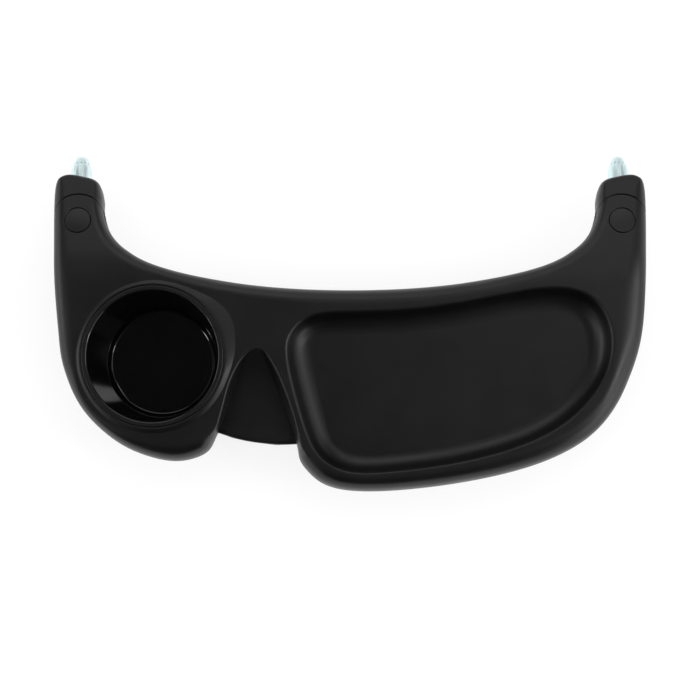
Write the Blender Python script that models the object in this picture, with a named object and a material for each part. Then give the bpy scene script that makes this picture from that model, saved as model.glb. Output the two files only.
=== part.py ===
"""Pushchair snack tray: two moulded shells, a lift-out cup and two swivelling ends with steel prongs.

Metres, +Z up. +X runs across the tray, +Y runs towards the prongs, and z = 0 is the cup's underside.
The shells are drawn flat. Their arms are then bent down, and the swivel parts are drawn round an
axis that is turned by the same angle.
"""
from math import atan2, cos, hypot, pi, radians, sin

import bmesh
import bpy
import numpy as np
from mathutils import Matrix, Vector

# Clearances and walls
GAP = 0.0003
WALL = 0.0025
# Small chamfer on turned pieces
CHAMFER = 0.0003
# How far a cutter runs on past what it cuts
OVERRUN = 0.0100

# Cup liner
CUP_X = -0.1322
CUP_Y = -0.0245
CUP_MOUTH_RADIUS = 0.0440
CUP_FOOT_RADIUS = 0.0377
CUP_HEIGHT = 0.0725
CUP_WALL = 0.0020
CUP_FLOOR = 0.0025
RING_OVERHANG = 0.0016
RING_THICKNESS = 0.0026
RING_PROUD = 0.0020
RING_RADIUS = CUP_MOUTH_RADIUS + CUP_WALL + RING_OVERHANG
CUP_HOLE_RADIUS = CUP_MOUTH_RADIUS + CUP_WALL + GAP
SKIRT_RADIUS = CUP_HOLE_RADIUS + WALL
COLLAR_TOP_WIDTH = 0.0011
COLLAR_SLOPE_WIDTH = 0.0025
COLLAR_DEPTH = 0.0060
# The collar stands a little lower than the cup's ring, and its slope runs just under the land
COLLAR_SHY = 0.0002
COLLAR_SINK = 0.0001
FOOT_CHAMFER = 0.0020
RING_CHAMFER = 0.0006
MOUTH_CHAMFER = 0.0008
INNER_CORNER = 0.0030
INNER_CORNER_CUT = 0.0009

# Heights of the two shells
LAND_Z = CUP_HEIGHT - RING_PROUD
SHELL_HEIGHT = 0.0260
COVER_HEIGHT = 0.0080
COVER_Z = LAND_Z - SHELL_HEIGHT
PART_Z = COVER_Z + COVER_HEIGHT

# Snack well and scooped front
WELL_DEPTH = 0.0140
SCOOP_DEPTH = 0.0140

# Arms: bent down behind the tray, then straight to the prongs
DROOP = radians(12)
BEND_START = 0.0250
BEND_LENGTH = 0.0200
BEND_STEPS = 3

# Swivel at the end of each arm, drawn round its own axis: u outwards, v along the arm
PIVOT_X = 0.1843
PIVOT_Y = 0.0651
KNUCKLE_OUTER = 0.0180
KNUCKLE_INNER = 0.0143
KNUCKLE_RADIUS = 0.0187
END_REACH = 0.0350
SEAM_START = 0.0090
EAR_THICKNESS = 0.0085
CAP_RADIUS = 0.0086
CAP_THICKNESS = 0.0022
SCREW_RADIUS = 0.0030
HEAD_RADIUS = 0.0060
HEAD_THICKNESS = 0.0024
HEAD_SEAT = 0.0030
SOCKET_RADIUS = 0.0023
SOCKET_DEPTH = 0.0014
SLEEVE_WALL = 0.0012
TONGUE_RADIUS = 0.0165
NECK_OUTER = 0.0140
NECK_INNER = 0.0120
NECK_ROOT = 0.0020
WASHER_RADIUS = 0.0080
FRICTION_WASHER_THICKNESS = 0.0005
WAVE_WASHER_THICKNESS = 0.0003
WAVE_HEIGHT = 0.0001
WAVES = 3
NUT_ACROSS_FLATS = 0.0100
NUT_THICKNESS = 0.0048
NUT_RECESS = 0.0005
# The screw's end stays short of the nut's lower face
SCREW_SHORT = 0.0002
SCREW_END_CHAMFER = 0.0005
HEAD_CHAMFER = 0.0004
# The neck runs from this share of the knuckle's radius out into the end
NECK_START = 0.35
# Solid plastic round the swivel, past the seam
BLOCK_WALL = 0.0030

# Steel prong and the spring pin that holds it
PRONG_OFFSET = 0.0008
PRONG_HEIGHT = 0.0050
PRONG_RADIUS = 0.0072
PRONG_REACH = 0.0164
PRONG_SEAT = 0.0034
PRONG_SINK = 0.0020
SPOT_FACE_WIDTH = 0.0011
SHANK_RADIUS = 0.0048
SHANK_LENGTH = 0.0076
SHANK_CHAMFER = 0.0006
# Back from the prong's tip, and share of the prong's radius
PRONG_NOSE = (
    (0.0, 0.0), (0.0004, 0.25), (0.0012, 0.43), (0.0024, 0.57), (0.0042, 0.68), (0.0056, 0.74),
    (0.0060, 0.68), (0.0066, 0.68), (0.0074, 0.83), (0.0092, 0.93), (0.0115, 0.99), (0.0140, 1.0),
)
CROSS_PIN_RADIUS = 0.0015
CROSS_PIN_LENGTH = 0.0165
CROSS_PIN_RECESS = 0.0004

# Self-tapping screws that hold the cover
SCREW_PLACES = (
    (-0.1860, 0.0180), (0.1860, 0.0180), (-0.0700, 0.0116), (0.0100, 0.0138),
    (0.1050, 0.0208), (-0.1040, -0.0804), (0.1866, -0.0204), (0.0400, -0.1068),
)
TAPPER_RADIUS = 0.0015
TAPPER_LENGTH = 0.0155
TAPPER_HEAD_RADIUS = 0.0031
TAPPER_HEAD_THICKNESS = 0.0022
TAPPER_RECESS = 0.0005
TAPPER_CROWN = 0.8
TAPPER_POINT = 0.0020
PILOT_SPARE = 0.0010
BOSS_WALL = 0.0020
PAD_WALL = 0.0020

# Outline of the tray seen from above. Each row is x, y, width of the rounded or flared edge,
# and how crisp the crease is that divides the edge from the top.
RIGHT_LOBE = (
    (-0.0358, -0.0828, 0.0030, 0.7),
    (-0.0353, -0.0868, 0.0036, 0.8),
    (-0.0338, -0.0937, 0.0056, 1.0),
    (-0.0290, -0.1008, 0.0068, 1.0),
    (-0.0205, -0.1083, 0.0068, 1.0),
    (-0.0102, -0.1126, 0.0058, 1.0),
    (0.0020, -0.1145, 0.0053, 1.0),
    (0.0240, -0.1146, 0.0053, 1.0),
    (0.0600, -0.1112, 0.0055, 1.0),
    (0.1000, -0.1040, 0.0057, 1.0),
    (0.1338, -0.0937, 0.0059, 1.0),
    (0.1590, -0.0802, 0.0060, 1.0),
    (0.1732, -0.0667, 0.0060, 0.9),
    (0.1822, -0.0532, 0.0062, 0.7),
    (0.1889, -0.0390, 0.0067, 0.5),
    (0.1946, -0.0240, 0.0075, 0.3),
    (0.1985, -0.0090, 0.0082, 0.1),
    (0.2013, 0.0120, 0.0085, 0.0),
)
LIP = (
    (-0.0750, -0.0798, 0.0030, 0.7),
    (-0.0560, -0.0829, 0.0030, 0.7),
)
# The left lobe follows the cup: angle round the cup in degrees, land outside the ring, edge, crease.
LEFT_LOBE = (
    (169, 0.0188, 0.0085, 0.0),
    (181, 0.0154, 0.0080, 0.1),
    (194, 0.0129, 0.0066, 0.3),
    (208, 0.0121, 0.0050, 0.6),
    (224, 0.0123, 0.0040, 0.9),
    (244, 0.0143, 0.0042, 1.0),
    (257, 0.0168, 0.0046, 1.0),
    (270, 0.0202, 0.0048, 1.0),
    (282, 0.0239, 0.0048, 1.0),
    (292, 0.0256, 0.0046, 1.0),
    (300, 0.0252, 0.0040, 1.0),
    (306, 0.0216, 0.0034, 0.8),
    (310, 0.0188, 0.0030, 0.7),
)
LEFT_FLANK = (
    (-0.2019, 0.0200, 0.0085, 0.0),
)
BACK = (
    (0.1450, 0.0425, 0.0088, 0.0),
    (0.1220, 0.0341, 0.0090, 0.0),
    (0.0920, 0.0281, 0.0093, 0.0),
    (0.0510, 0.0230, 0.0100, 0.0),
    (0.0, 0.0210, 0.0105, 0.0),
)
# Arm's sides, as far as the seam: how far in from the knuckle's side, v from the axis, edge width
ARM_OUTER_SIDE = (
    (0.0, -0.0150, 0.0080),
    (0.0, 0.0050, 0.0068),
)
ARM_INNER_SIDE = (
    (-0.0013, 0.0125, 0.0062),
    (-0.0042, 0.0007, 0.0070),
    (-0.0107, -0.0110, 0.0080),
)
# The end's corners: how far in from the knuckle's side, back from the end's face, edge width
END_OUTER_CORNER = (
    (0.0, 0.0142, 0.0060),
    (0.0008, 0.0066, 0.0046),
    (0.0026, 0.0030, 0.0038),
    (0.0060, 0.0009, 0.0034),
    (0.0100, 0.0, 0.0032),
    (0.0160, 0.0006, 0.0032),
)
END_INNER_CORNER = (
    (0.0108, 0.0018, 0.0032),
    (0.0066, 0.0029, 0.0032),
    (0.0033, 0.0044, 0.0036),
    (0.0010, 0.0070, 0.0042),
    (-0.0004, 0.0118, 0.0052),
    (-0.0012, 0.0170, 0.0060),
)
# The hollow inside each arm stops short of the swivel: in from the knuckle's outer side, v, edge width
ARM_HOLLOW = (
    (0.0, -0.0380, 0.0085),
    (0.0032, -0.0280, 0.0062),
    (0.0115, -0.0240, 0.0040),
    (0.0280, -0.0240, 0.0040),
    (0.0420, -0.0215, 0.0060),
)

# Height of the outer surface: depth below the land, share of a round edge's width, share of a
# creased edge's width, and how far the top rolls in beyond the crease.
TOP_PROFILE = (
    (SHELL_HEIGHT - COVER_HEIGHT, 0.0, 0.0, 0.0),
    (0.0075, 0.02, 0.30, 0.0),
    (0.0035, 0.14, 0.85, 0.0),
    (0.0013, 0.38, 1.0, 0.0012),
    (0.0, 1.0, 1.0, 0.0055),
)
COVER_PROFILE = (
    (0.0, 1.00),
    (0.0016, 0.43),
    (0.0040, 0.14),
    (COVER_HEIGHT, 0.0),
)
COVER_EDGE_MAX = 0.0080
CREASE_TUCK = 0.3
# The rounded edge of the cover's hollow rises over this share of the outer edge's height
HOLLOW_EDGE_RISE = 0.7

# Snack well: its upper edge, and its wall as depth and how far it has come in
WELL_EDGE = (
    (-0.0427, -0.0218), (-0.0396, -0.0092), (-0.0295, 0.0010), (-0.0100, 0.0049), (0.0380, 0.0067),
    (0.0880, 0.0142), (0.1200, 0.0200), (0.1466, 0.0208), (0.1645, 0.0128), (0.1745, -0.0044),
    (0.1748, -0.0255), (0.1676, -0.0435), (0.1500, -0.0640), (0.1208, -0.0816), (0.0710, -0.0957),
    (0.0213, -0.1020), (-0.0045, -0.1006), (-0.0218, -0.0899), (-0.0310, -0.0719), (-0.0385, -0.0474),
)
WELL_PROFILE = (
    (0.0015, 0.0008),
    (0.0060, 0.0022),
    (0.0100, 0.0040),
    (WELL_DEPTH - 0.0010, 0.0075),
    (WELL_DEPTH, 0.0120),
)

# Scoop between the lobes, from its apex forwards: y, left edge, right edge, share of the depth,
# width of the left wall, width of the right wall
SCOOP_ROWS = (
    (-0.0186, -0.0652, -0.0626, 0.05, 0.0002, 0.0002),
    (-0.0208, -0.0672, -0.0576, 0.24, 0.0012, 0.0014),
    (-0.0259, -0.0729, -0.0536, 0.45, 0.0024, 0.0030),
    (-0.0350, -0.0784, -0.0489, 0.68, 0.0032, 0.0044),
    (-0.0480, -0.0823, -0.0434, 0.85, 0.0032, 0.0052),
    (-0.0620, -0.0857, -0.0386, 0.95, 0.0026, 0.0050),
    (-0.0750, -0.0888, -0.0352, 0.99, 0.0016, 0.0036),
    (-0.0850, -0.0894, -0.0350, 1.00, 0.0008, 0.0020),
)
FOOT_FILLET = 0.0015
# A floor narrower than this many fillets is drawn as a trough instead
TROUGH_FILLETS = 3

# Sides of round shapes, from the cup to the smallest screw
CUP_SIDES = 40
KNUCKLE_SIDES = 32
BLOCK_SIDES = 24
ROUND_SIDES = 18
HOLE_SIDES = 12
TAPPER_SIDES = 10
HEX_SIDES = 6
TURN_PER_POINT = radians(15)
LONGEST_STEP = 0.034
# How far a wall may be stretched at a sharp corner: the least cosine that counts
STRETCH_LIMIT = 0.6
SHARP_ANGLE = radians(32)


def clear_scene():
    for item in list(bpy.data.objects):
        bpy.data.objects.remove(item, do_unlink=True)


def plastic(name, colour, roughness):
    material = bpy.data.materials.new(name)
    material.use_nodes = True
    shader = material.node_tree.nodes["Principled BSDF"]
    shader.inputs["Base Color"].default_value = (*colour, 1.0)
    shader.inputs["Roughness"].default_value = roughness
    return material


def metal(name, colour, roughness):
    material = plastic(name, colour, roughness)
    material.node_tree.nodes["Principled BSDF"].inputs["Metallic"].default_value = 1.0
    return material


# Curves and outlines

def smooth_run(rows, steps=12):
    """Points along one smooth curve through the rows, which may carry more numbers than x and y."""
    rows = np.array(rows, dtype=float)
    gaps = np.sqrt(np.hypot(*(rows[1:, :2] - rows[:-1, :2]).T))
    count = len(rows)
    matrix = np.eye(count)
    right = np.zeros_like(rows)
    for i in range(1, count - 1):
        matrix[i, i - 1:i + 2] = gaps[i - 1], 2 * (gaps[i - 1] + gaps[i]), gaps[i]
        right[i] = 6 * ((rows[i + 1] - rows[i]) / gaps[i] - (rows[i] - rows[i - 1]) / gaps[i - 1])
    bend = np.linalg.solve(matrix, right)
    points = []
    for i in range(count - 1):
        for t in np.linspace(0, gaps[i], steps, endpoint=False):
            back = gaps[i] - t
            points.append(
                (bend[i] * back ** 3 + bend[i + 1] * t ** 3) / (6 * gaps[i])
                + (rows[i] / gaps[i] - bend[i] * gaps[i] / 6) * back
                + (rows[i + 1] / gaps[i] - bend[i + 1] * gaps[i] / 6) * t
            )
    points.append(rows[-1])
    return np.array(points)


def smooth_loop(rows, steps=12):
    """The same for a closed curve: the ends overlap by three rows, and the overlap is dropped."""
    lead = 3
    rows = list(rows)
    wrapped = rows[-lead:] + rows + rows[:lead + 1]
    return smooth_run(wrapped, steps)[lead * steps:(lead + len(rows)) * steps]


def thin(points):
    """Keeps only the points that the curve needs, by how far it has turned or run."""
    kept = [points[0]]
    turned = 0.0
    run = 0.0
    for before, here, after in zip(points[:-2], points[1:-1], points[2:]):
        first = atan2(here[1] - before[1], here[0] - before[0])
        second = atan2(after[1] - here[1], after[0] - here[0])
        turned += abs((second - first + pi) % (2 * pi) - pi)
        run += hypot(here[0] - before[0], here[1] - before[1])
        if turned > TURN_PER_POINT or run > LONGEST_STEP:
            kept.append(here)
            turned = 0.0
            run = 0.0
    kept.append(points[-1])
    return np.array(kept)


def inward(points):
    """Unit step into a loop that runs anticlockwise, longer at corners so that walls stay even."""
    before = points - np.roll(points, 1, axis=0)
    after = np.roll(points, -1, axis=0) - points
    before /= np.linalg.norm(before, axis=1)[:, None]
    after /= np.linalg.norm(after, axis=1)[:, None]
    middle = before + after
    middle /= np.linalg.norm(middle, axis=1)[:, None]
    stretch = 1 / np.maximum(np.sum(middle * after, axis=1), STRETCH_LIMIT)
    return np.column_stack((-middle[:, 1], middle[:, 0])) * stretch[:, None]


def arm_end():
    """Arm from its outer side round its end to its inner side: u, v, edge width."""
    rows = [(KNUCKLE_OUTER - inset, v, width) for inset, v, width in ARM_OUTER_SIDE]
    rows += [(KNUCKLE_OUTER - inset, END_REACH - back, width) for inset, back, width in END_OUTER_CORNER]
    rows += [(inset - KNUCKLE_INNER, END_REACH - back, width) for inset, back, width in END_INNER_CORNER]
    return rows + [(inset - KNUCKLE_INNER, v, width) for inset, v, width in ARM_INNER_SIDE]


def arm_hollow():
    return [(KNUCKLE_OUTER - inset, v, width) for inset, v, width in ARM_HOLLOW]


def arm_rows(side, rows):
    """Rows of one arm in the plan, from u and v round its swivel."""
    placed = [(side * (PIVOT_X + u), PIVOT_Y + v, width, 0.0) for u, v, width in rows]
    return placed if side > 0 else placed[::-1]


def left_lobe_rows():
    rows = []
    for angle, land, width, crease in LEFT_LOBE:
        radius = RING_RADIUS + land
        x = CUP_X + radius * cos(radians(angle))
        y = CUP_Y + radius * sin(radians(angle))
        rows.append((x, y, width, crease))
    return rows


def tray_outline(arm):
    """Closed outline, anticlockwise from the right end of the lip: x, y, edge width, crease."""
    back_left = [(-x, y, width, crease) for x, y, width, crease in BACK[-2::-1]]
    left_lobe = left_lobe_rows()
    around = list(RIGHT_LOBE) + arm_rows(1, arm) + list(BACK) + back_left
    around += arm_rows(-1, arm) + list(LEFT_FLANK) + left_lobe
    body = smooth_run(around)
    lip = smooth_run([left_lobe[-1]] + list(LIP) + [RIGHT_LOBE[0]])
    return np.vstack((thin(body), thin(lip)[1:-1]))


def top_insets(outline, round_share, crease_share, roll):
    width = outline[:, 2]
    crease = outline[:, 3]
    return width * (round_share + (crease_share - round_share) * crease) + roll * crease


def cover_insets(outline, share):
    width = outline[:, 2] * (1 + CREASE_TUCK * outline[:, 3])
    return share * np.minimum(width, COVER_EDGE_MAX)


def ring(outline, insets, z):
    plan = outline[:, :2] + inward(outline[:, :2]) * np.broadcast_to(insets, len(outline))[:, None]
    return [(x, y, z) for x, y in plan]


# Solids

def ring_solid(rings):
    """Closed mesh drawn up ring by ring through loops of equal count, with flat ends."""
    mesh = bmesh.new()
    station = mesh.verts.layers.int.new("station")
    loop = [mesh.verts.new(point) for point in rings[0]]
    for index, vert in enumerate(loop):
        vert[station] = index
    edges = [mesh.edges.new((a, b)) for a, b in zip(loop, loop[1:] + loop[:1])]
    bmesh.ops.contextual_create(mesh, geom=edges)
    for points in rings[1:]:
        grown = bmesh.ops.extrude_edge_only(mesh, edges=edges)["geom"]
        edges = [item for item in grown if isinstance(item, bmesh.types.BMEdge)]
        for item in grown:
            if isinstance(item, bmesh.types.BMVert):
                item.co = points[item[station]]
    bmesh.ops.contextual_create(mesh, geom=edges)
    bmesh.ops.recalc_face_normals(mesh, faces=mesh.faces)
    return mesh


def turned(profile, sides=ROUND_SIDES):
    """Solid of revolution about Z from radius and height: a closed ring, or a chain from axis to axis."""
    chain = list(profile)
    closing = chain[0][0] > 0
    if not closing and chain[0][1] == chain[1][1]:
        del chain[0]
    if not closing and chain[-1][1] == chain[-2][1]:
        del chain[-1]
    mesh = bmesh.new()
    verts = [mesh.verts.new((radius, 0, z)) for radius, z in chain]
    edges = [mesh.edges.new(pair) for pair in zip(verts[:-1], verts[1:])]
    if closing:
        edges.append(mesh.edges.new((verts[-1], verts[0])))
    bmesh.ops.spin(
        mesh, geom=verts + edges, cent=(0, 0, 0), axis=(0, 0, 1), dvec=(0, 0, 0),
        angle=2 * pi, steps=sides, use_merge=True,
    )
    bmesh.ops.remove_doubles(mesh, verts=mesh.verts, dist=0.00001)
    rims = [edge for edge in mesh.edges if len(edge.link_faces) == 1]
    if rims:
        bmesh.ops.edgeloop_fill(mesh, edges=rims)
    bmesh.ops.recalc_face_normals(mesh, faces=mesh.faces)
    return mesh


def cylinder(radius, low, high, sides=ROUND_SIDES, place=(0, 0)):
    mesh = bmesh.new()
    bmesh.ops.create_cone(
        mesh, cap_ends=True, segments=sides, radius1=radius, radius2=radius, depth=high - low,
        matrix=Matrix.Translation((place[0], place[1], (low + high) / 2)),
    )
    return mesh


def together(meshes):
    """One mesh holding several tools that don't touch each other."""
    joined = bmesh.new()
    for mesh in meshes:
        data = bpy.data.meshes.new("together")
        mesh.to_mesh(data)
        mesh.free()
        joined.from_mesh(data)
        bpy.data.meshes.remove(data)
    return joined


def block(low, high):
    low, high = Vector(low), Vector(high)
    mesh = bmesh.new()
    size = Matrix.Diagonal((*(high - low), 1))
    bmesh.ops.create_cube(mesh, size=1, matrix=Matrix.Translation((low + high) / 2) @ size)
    return mesh


def thing(name, mesh, material=None):
    data = bpy.data.meshes.new(name)
    mesh.to_mesh(data)
    mesh.free()
    item = bpy.data.objects.new(name, data)
    bpy.context.scene.collection.objects.link(item)
    if material:
        data.materials.append(material)
    return item


def finish_shading(item):
    item.data.shade_smooth()
    item.data.set_sharp_from_angle(angle=SHARP_ANGLE)


def bake(item):
    """Replaces an object's mesh by what its modifiers make of it."""
    depsgraph = bpy.context.evaluated_depsgraph_get()
    item.data = bpy.data.meshes.new_from_object(item.evaluated_get(depsgraph))
    item.modifiers.clear()


def combine(item, operation, meshes, solver="EXACT"):
    """Joins the meshes to the object, or cuts them from it, one after another."""
    tools = []
    for mesh in meshes:
        tool = thing(item.name + "_tool", mesh)
        tool.hide_render = True
        tool.display_type = "WIRE"
        step = item.modifiers.new(operation.title(), "BOOLEAN")
        step.operation = operation
        step.solver = solver
        step.object = tool
        tools.append(tool)
    bake(item)
    for tool in tools:
        bpy.data.objects.remove(tool, do_unlink=True)


def taken_mesh(item):
    """The object's mesh for use as a tool; the object itself goes."""
    mesh = bmesh.new()
    mesh.from_mesh(item.data)
    bpy.data.objects.remove(item, do_unlink=True)
    return mesh


# The bend of the arms

BEND_RADIUS = BEND_LENGTH / DROOP


def bent(point):
    """Where a point of the flat drawing goes once the arms are bent down."""
    x, y, z = point
    run = y - BEND_START
    lift = BEND_RADIUS + z - PART_Z
    if run <= 0:
        return Vector((x, y, z))
    angle = min(run, BEND_LENGTH) / BEND_RADIUS
    straight = max(run - BEND_LENGTH, 0)
    return Vector((
        x,
        BEND_START + lift * sin(angle) + straight * cos(angle),
        PART_Z - BEND_RADIUS + lift * cos(angle) - straight * sin(angle),
    ))


def bend_arms(item):
    mesh = bmesh.new()
    mesh.from_mesh(item.data)
    for step in range(BEND_STEPS + 1):
        y = BEND_START + BEND_LENGTH * step / BEND_STEPS
        everything = mesh.verts[:] + mesh.edges[:] + mesh.faces[:]
        bmesh.ops.bisect_plane(mesh, geom=everything, plane_co=(0, y, 0), plane_no=(0, 1, 0), dist=1e-6)
    bmesh.ops.triangulate(mesh, faces=mesh.faces)
    for vert in mesh.verts:
        vert.co = bent(vert.co)
    mesh.to_mesh(item.data)
    mesh.free()


# Reach of the cutters that span a whole swivel
REACH = END_REACH + OVERRUN

# Heights along the swivel's axis, from the parting plane
LAND_V = LAND_Z - PART_Z
FLOOR_V = COVER_Z - PART_Z
SLOT_FLOOR = -GAP / 2
SLOT_ROOF = LAND_V - EAR_THICKNESS
SEAM_RADIUS = KNUCKLE_RADIUS + GAP
BORE_RADIUS = SCREW_RADIUS + GAP
SLEEVE_RADIUS = BORE_RADIUS + SLEEVE_WALL
CAP_FLOOR = LAND_V - CAP_THICKNESS
HEAD_FLOOR = SLOT_ROOF + HEAD_SEAT + GAP
FRICTION_TOP = SLOT_FLOOR + GAP + FRICTION_WASHER_THICKNESS
WAVE_LOW = SLOT_ROOF - GAP - WAVE_WASHER_THICKNESS - 2 * WAVE_HEIGHT
TONGUE_LOW = FRICTION_TOP + GAP
TONGUE_HIGH = WAVE_LOW - GAP
NUT_LOW = FLOOR_V + NUT_RECESS
NUT_HIGH = NUT_LOW + NUT_THICKNESS
BLOCK_RADIUS = SEAM_RADIUS + BLOCK_WALL
SPOT_FACE_V = END_REACH - PRONG_SEAT
PRONG_FOOT_V = SPOT_FACE_V - PRONG_SINK
SHANK_END_V = PRONG_FOOT_V - SHANK_LENGTH
CROSS_PIN_V = (PRONG_FOOT_V + SHANK_END_V) / 2


def at_pivot(side, mesh):
    """Moves a mesh drawn round the swivel's axis to its place in the flat drawing."""
    bmesh.ops.translate(mesh, verts=mesh.verts, vec=(side * PIVOT_X, PIVOT_Y, PART_Z))
    return mesh


def beyond_seam(margin, start):
    """Everything past the seam, as a tool: a block with the knuckle's round cut out of it."""
    item = thing("beyond", block((-REACH, start, -REACH), (REACH, 2 * REACH, REACH)))
    combine(item, "DIFFERENCE", [cylinder(margin, -2 * REACH, 2 * REACH, sides=CUP_SIDES)])
    return taken_mesh(item)


def hexagon(across, low, high):
    return cylinder(across / 2 / cos(pi / HEX_SIDES), low, high, sides=HEX_SIDES)


# The shells

def scoop(grow):
    """Scoop between the lobes, as a solid; grow makes its walls and floor thicker by so much."""
    rings = []
    top = LAND_Z + OVERRUN
    for index, (y, left, right, share, left_wall, right_wall) in enumerate(SCOOP_ROWS):
        floor = LAND_Z - SCOOP_DEPTH * share - grow
        fillet = min(FOOT_FILLET, SCOOP_DEPTH * share / 2)
        rise = fillet
        left_foot = left - grow + left_wall
        right_foot = right + grow - right_wall
        left_floor = left_foot + fillet
        right_floor = right_foot - fillet
        if right_foot - left_foot <= TROUGH_FILLETS * fillet:
            rise = fillet / 2
            left_floor = (left_foot * 2 + right_foot) / 3
            right_floor = (left_foot + right_foot * 2) / 3
        if index == 0:
            y += grow
        rings.append([
            (left - grow, y, top), (left - grow, y, LAND_Z), (left_foot, y, floor + rise),
            (left_floor, y, floor), (right_floor, y, floor),
            (right_foot, y, floor + rise), (right + grow, y, LAND_Z), (right + grow, y, top),
        ])
    return ring_solid(rings)


def well(grow):
    """Snack well as a solid; grow makes its walls and floor thicker by so much."""
    edge = thin(smooth_loop(WELL_EDGE))
    edge = edge[::-1] if loop_area(edge) < 0 else edge
    rings = [ring(edge, -grow, LAND_Z + OVERRUN)]
    rings.append(ring(edge, -grow, LAND_Z))
    for depth, inset in WELL_PROFILE:
        rings.append(ring(edge, inset - grow, LAND_Z - depth - grow * (depth / WELL_DEPTH)))
    return ring_solid(rings)


def loop_area(points):
    x, y = points[:, 0], points[:, 1]
    return float(np.sum(x * np.roll(y, -1) - np.roll(x, -1) * y)) / 2


def top_hollow():
    """Hollow under the upper shell, with every inner wall and boss left out of it."""
    outline = tray_outline(arm_hollow())
    rings = [ring(outline, WALL, PART_Z - OVERRUN)]
    for depth, round_share, crease_share, roll in TOP_PROFILE[1:-1]:
        insets = top_insets(outline, round_share, crease_share, roll) + WALL
        rings.append(ring(outline, insets, LAND_Z - max(depth, WALL)))
    item = thing("top_hollow", ring_solid(rings))
    boss_radius = TAPPER_RADIUS + GAP + BOSS_WALL
    foot = PART_Z - 2 * OVERRUN
    posts = [cylinder(boss_radius, foot, LAND_Z, HOLE_SIDES, place) for place in SCREW_PLACES]
    posts.append(cylinder(SKIRT_RADIUS, foot, LAND_Z, CUP_SIDES, (CUP_X, CUP_Y)))
    posts += [at_pivot(side, cylinder(BLOCK_RADIUS, -REACH, REACH, BLOCK_SIDES)) for side in (-1, 1)]
    combine(item, "DIFFERENCE", [well(WALL), scoop(WALL), together(posts)])
    return taken_mesh(item)


def swivel_bore():
    """Slot, bore, head recess and cap recess of the upper ear, as one turned tool."""
    seat = SLOT_ROOF + HEAD_SEAT
    return turned((
        (0, SLOT_FLOOR - OVERRUN), (SEAM_RADIUS, SLOT_FLOOR - OVERRUN), (SEAM_RADIUS, SLOT_ROOF),
        (BORE_RADIUS, SLOT_ROOF), (BORE_RADIUS, seat), (HEAD_RADIUS + GAP, seat),
        (HEAD_RADIUS + GAP, CAP_FLOOR - GAP), (CAP_RADIUS + GAP, CAP_FLOOR - GAP),
        (CAP_RADIUS + GAP, LAND_V + OVERRUN), (0, LAND_V + OVERRUN),
    ), KNUCKLE_SIDES)


def cup_bore():
    """Hole for the cup with the ledge that its ring sits on."""
    ledge = CUP_HEIGHT - RING_THICKNESS - GAP
    bore = turned((
        (0, 0), (CUP_HOLE_RADIUS, 0), (CUP_HOLE_RADIUS, ledge), (RING_RADIUS + GAP, ledge),
        (RING_RADIUS + GAP, 2 * LAND_Z), (0, 2 * LAND_Z),
    ), CUP_SIDES)
    bmesh.ops.translate(bore, verts=bore.verts, vec=(CUP_X, CUP_Y, 0))
    return bore


def collar():
    """Raised rim round the cup's ring, sloping down to the land."""
    top = LAND_Z + RING_PROUD - COLLAR_SHY
    radius = RING_RADIUS + GAP + COLLAR_TOP_WIDTH
    foot = radius + COLLAR_SLOPE_WIDTH
    mesh = turned((
        (0, top), (radius, top), (foot, LAND_Z - COLLAR_SINK), (foot, LAND_Z - COLLAR_DEPTH),
        (0, LAND_Z - COLLAR_DEPTH),
    ), CUP_SIDES)
    bmesh.ops.translate(mesh, verts=mesh.verts, vec=(CUP_X, CUP_Y, 0))
    return mesh


def make_tray_top(material):
    outline = tray_outline(arm_end())
    rings = []
    for depth, round_share, crease_share, roll in TOP_PROFILE:
        insets = top_insets(outline, round_share, crease_share, roll)
        rings.append(ring(outline, insets, max(LAND_Z - depth, PART_Z + GAP / 2)))
    item = thing("tray_top", ring_solid(rings), material)
    combine(item, "UNION", [collar()])
    combine(item, "DIFFERENCE", [top_hollow(), well(0), scoop(0), cup_bore()])
    pilot_top = COVER_Z + TAPPER_RECESS + TAPPER_HEAD_THICKNESS + TAPPER_LENGTH + PILOT_SPARE
    pilot_radius = TAPPER_RADIUS + GAP
    pilots = [
        cylinder(pilot_radius, PART_Z - OVERRUN, pilot_top, HOLE_SIDES, place) for place in SCREW_PLACES
    ]
    bores = [at_pivot(side, swivel_bore()) for side in (-1, 1)]
    ends = [at_pivot(side, beyond_seam(KNUCKLE_RADIUS, 0)) for side in (-1, 1)]
    combine(item, "DIFFERENCE", [together(pilots + bores), *ends])
    bend_arms(item)
    finish_shading(item)
    return item


def cover_hollow():
    outline = tray_outline(arm_hollow())
    rings = []
    for height, share in COVER_PROFILE:
        insets = cover_insets(outline, share) + WALL
        rings.append(ring(outline, insets, COVER_Z + WALL + height * HOLLOW_EDGE_RISE))
    rings.append(ring(outline, WALL, PART_Z + OVERRUN))
    item = thing("cover_hollow", ring_solid(rings))
    pad_radius = TAPPER_HEAD_RADIUS + GAP + PAD_WALL
    head = PART_Z + 2 * OVERRUN
    posts = [cylinder(pad_radius, COVER_Z, head, HOLE_SIDES, place) for place in SCREW_PLACES]
    posts.append(cylinder(SKIRT_RADIUS, COVER_Z, head, CUP_SIDES, (CUP_X, CUP_Y)))
    posts += [at_pivot(side, cylinder(BLOCK_RADIUS, -REACH, REACH, BLOCK_SIDES)) for side in (-1, 1)]
    combine(item, "DIFFERENCE", [together(posts)])
    return taken_mesh(item)


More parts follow.
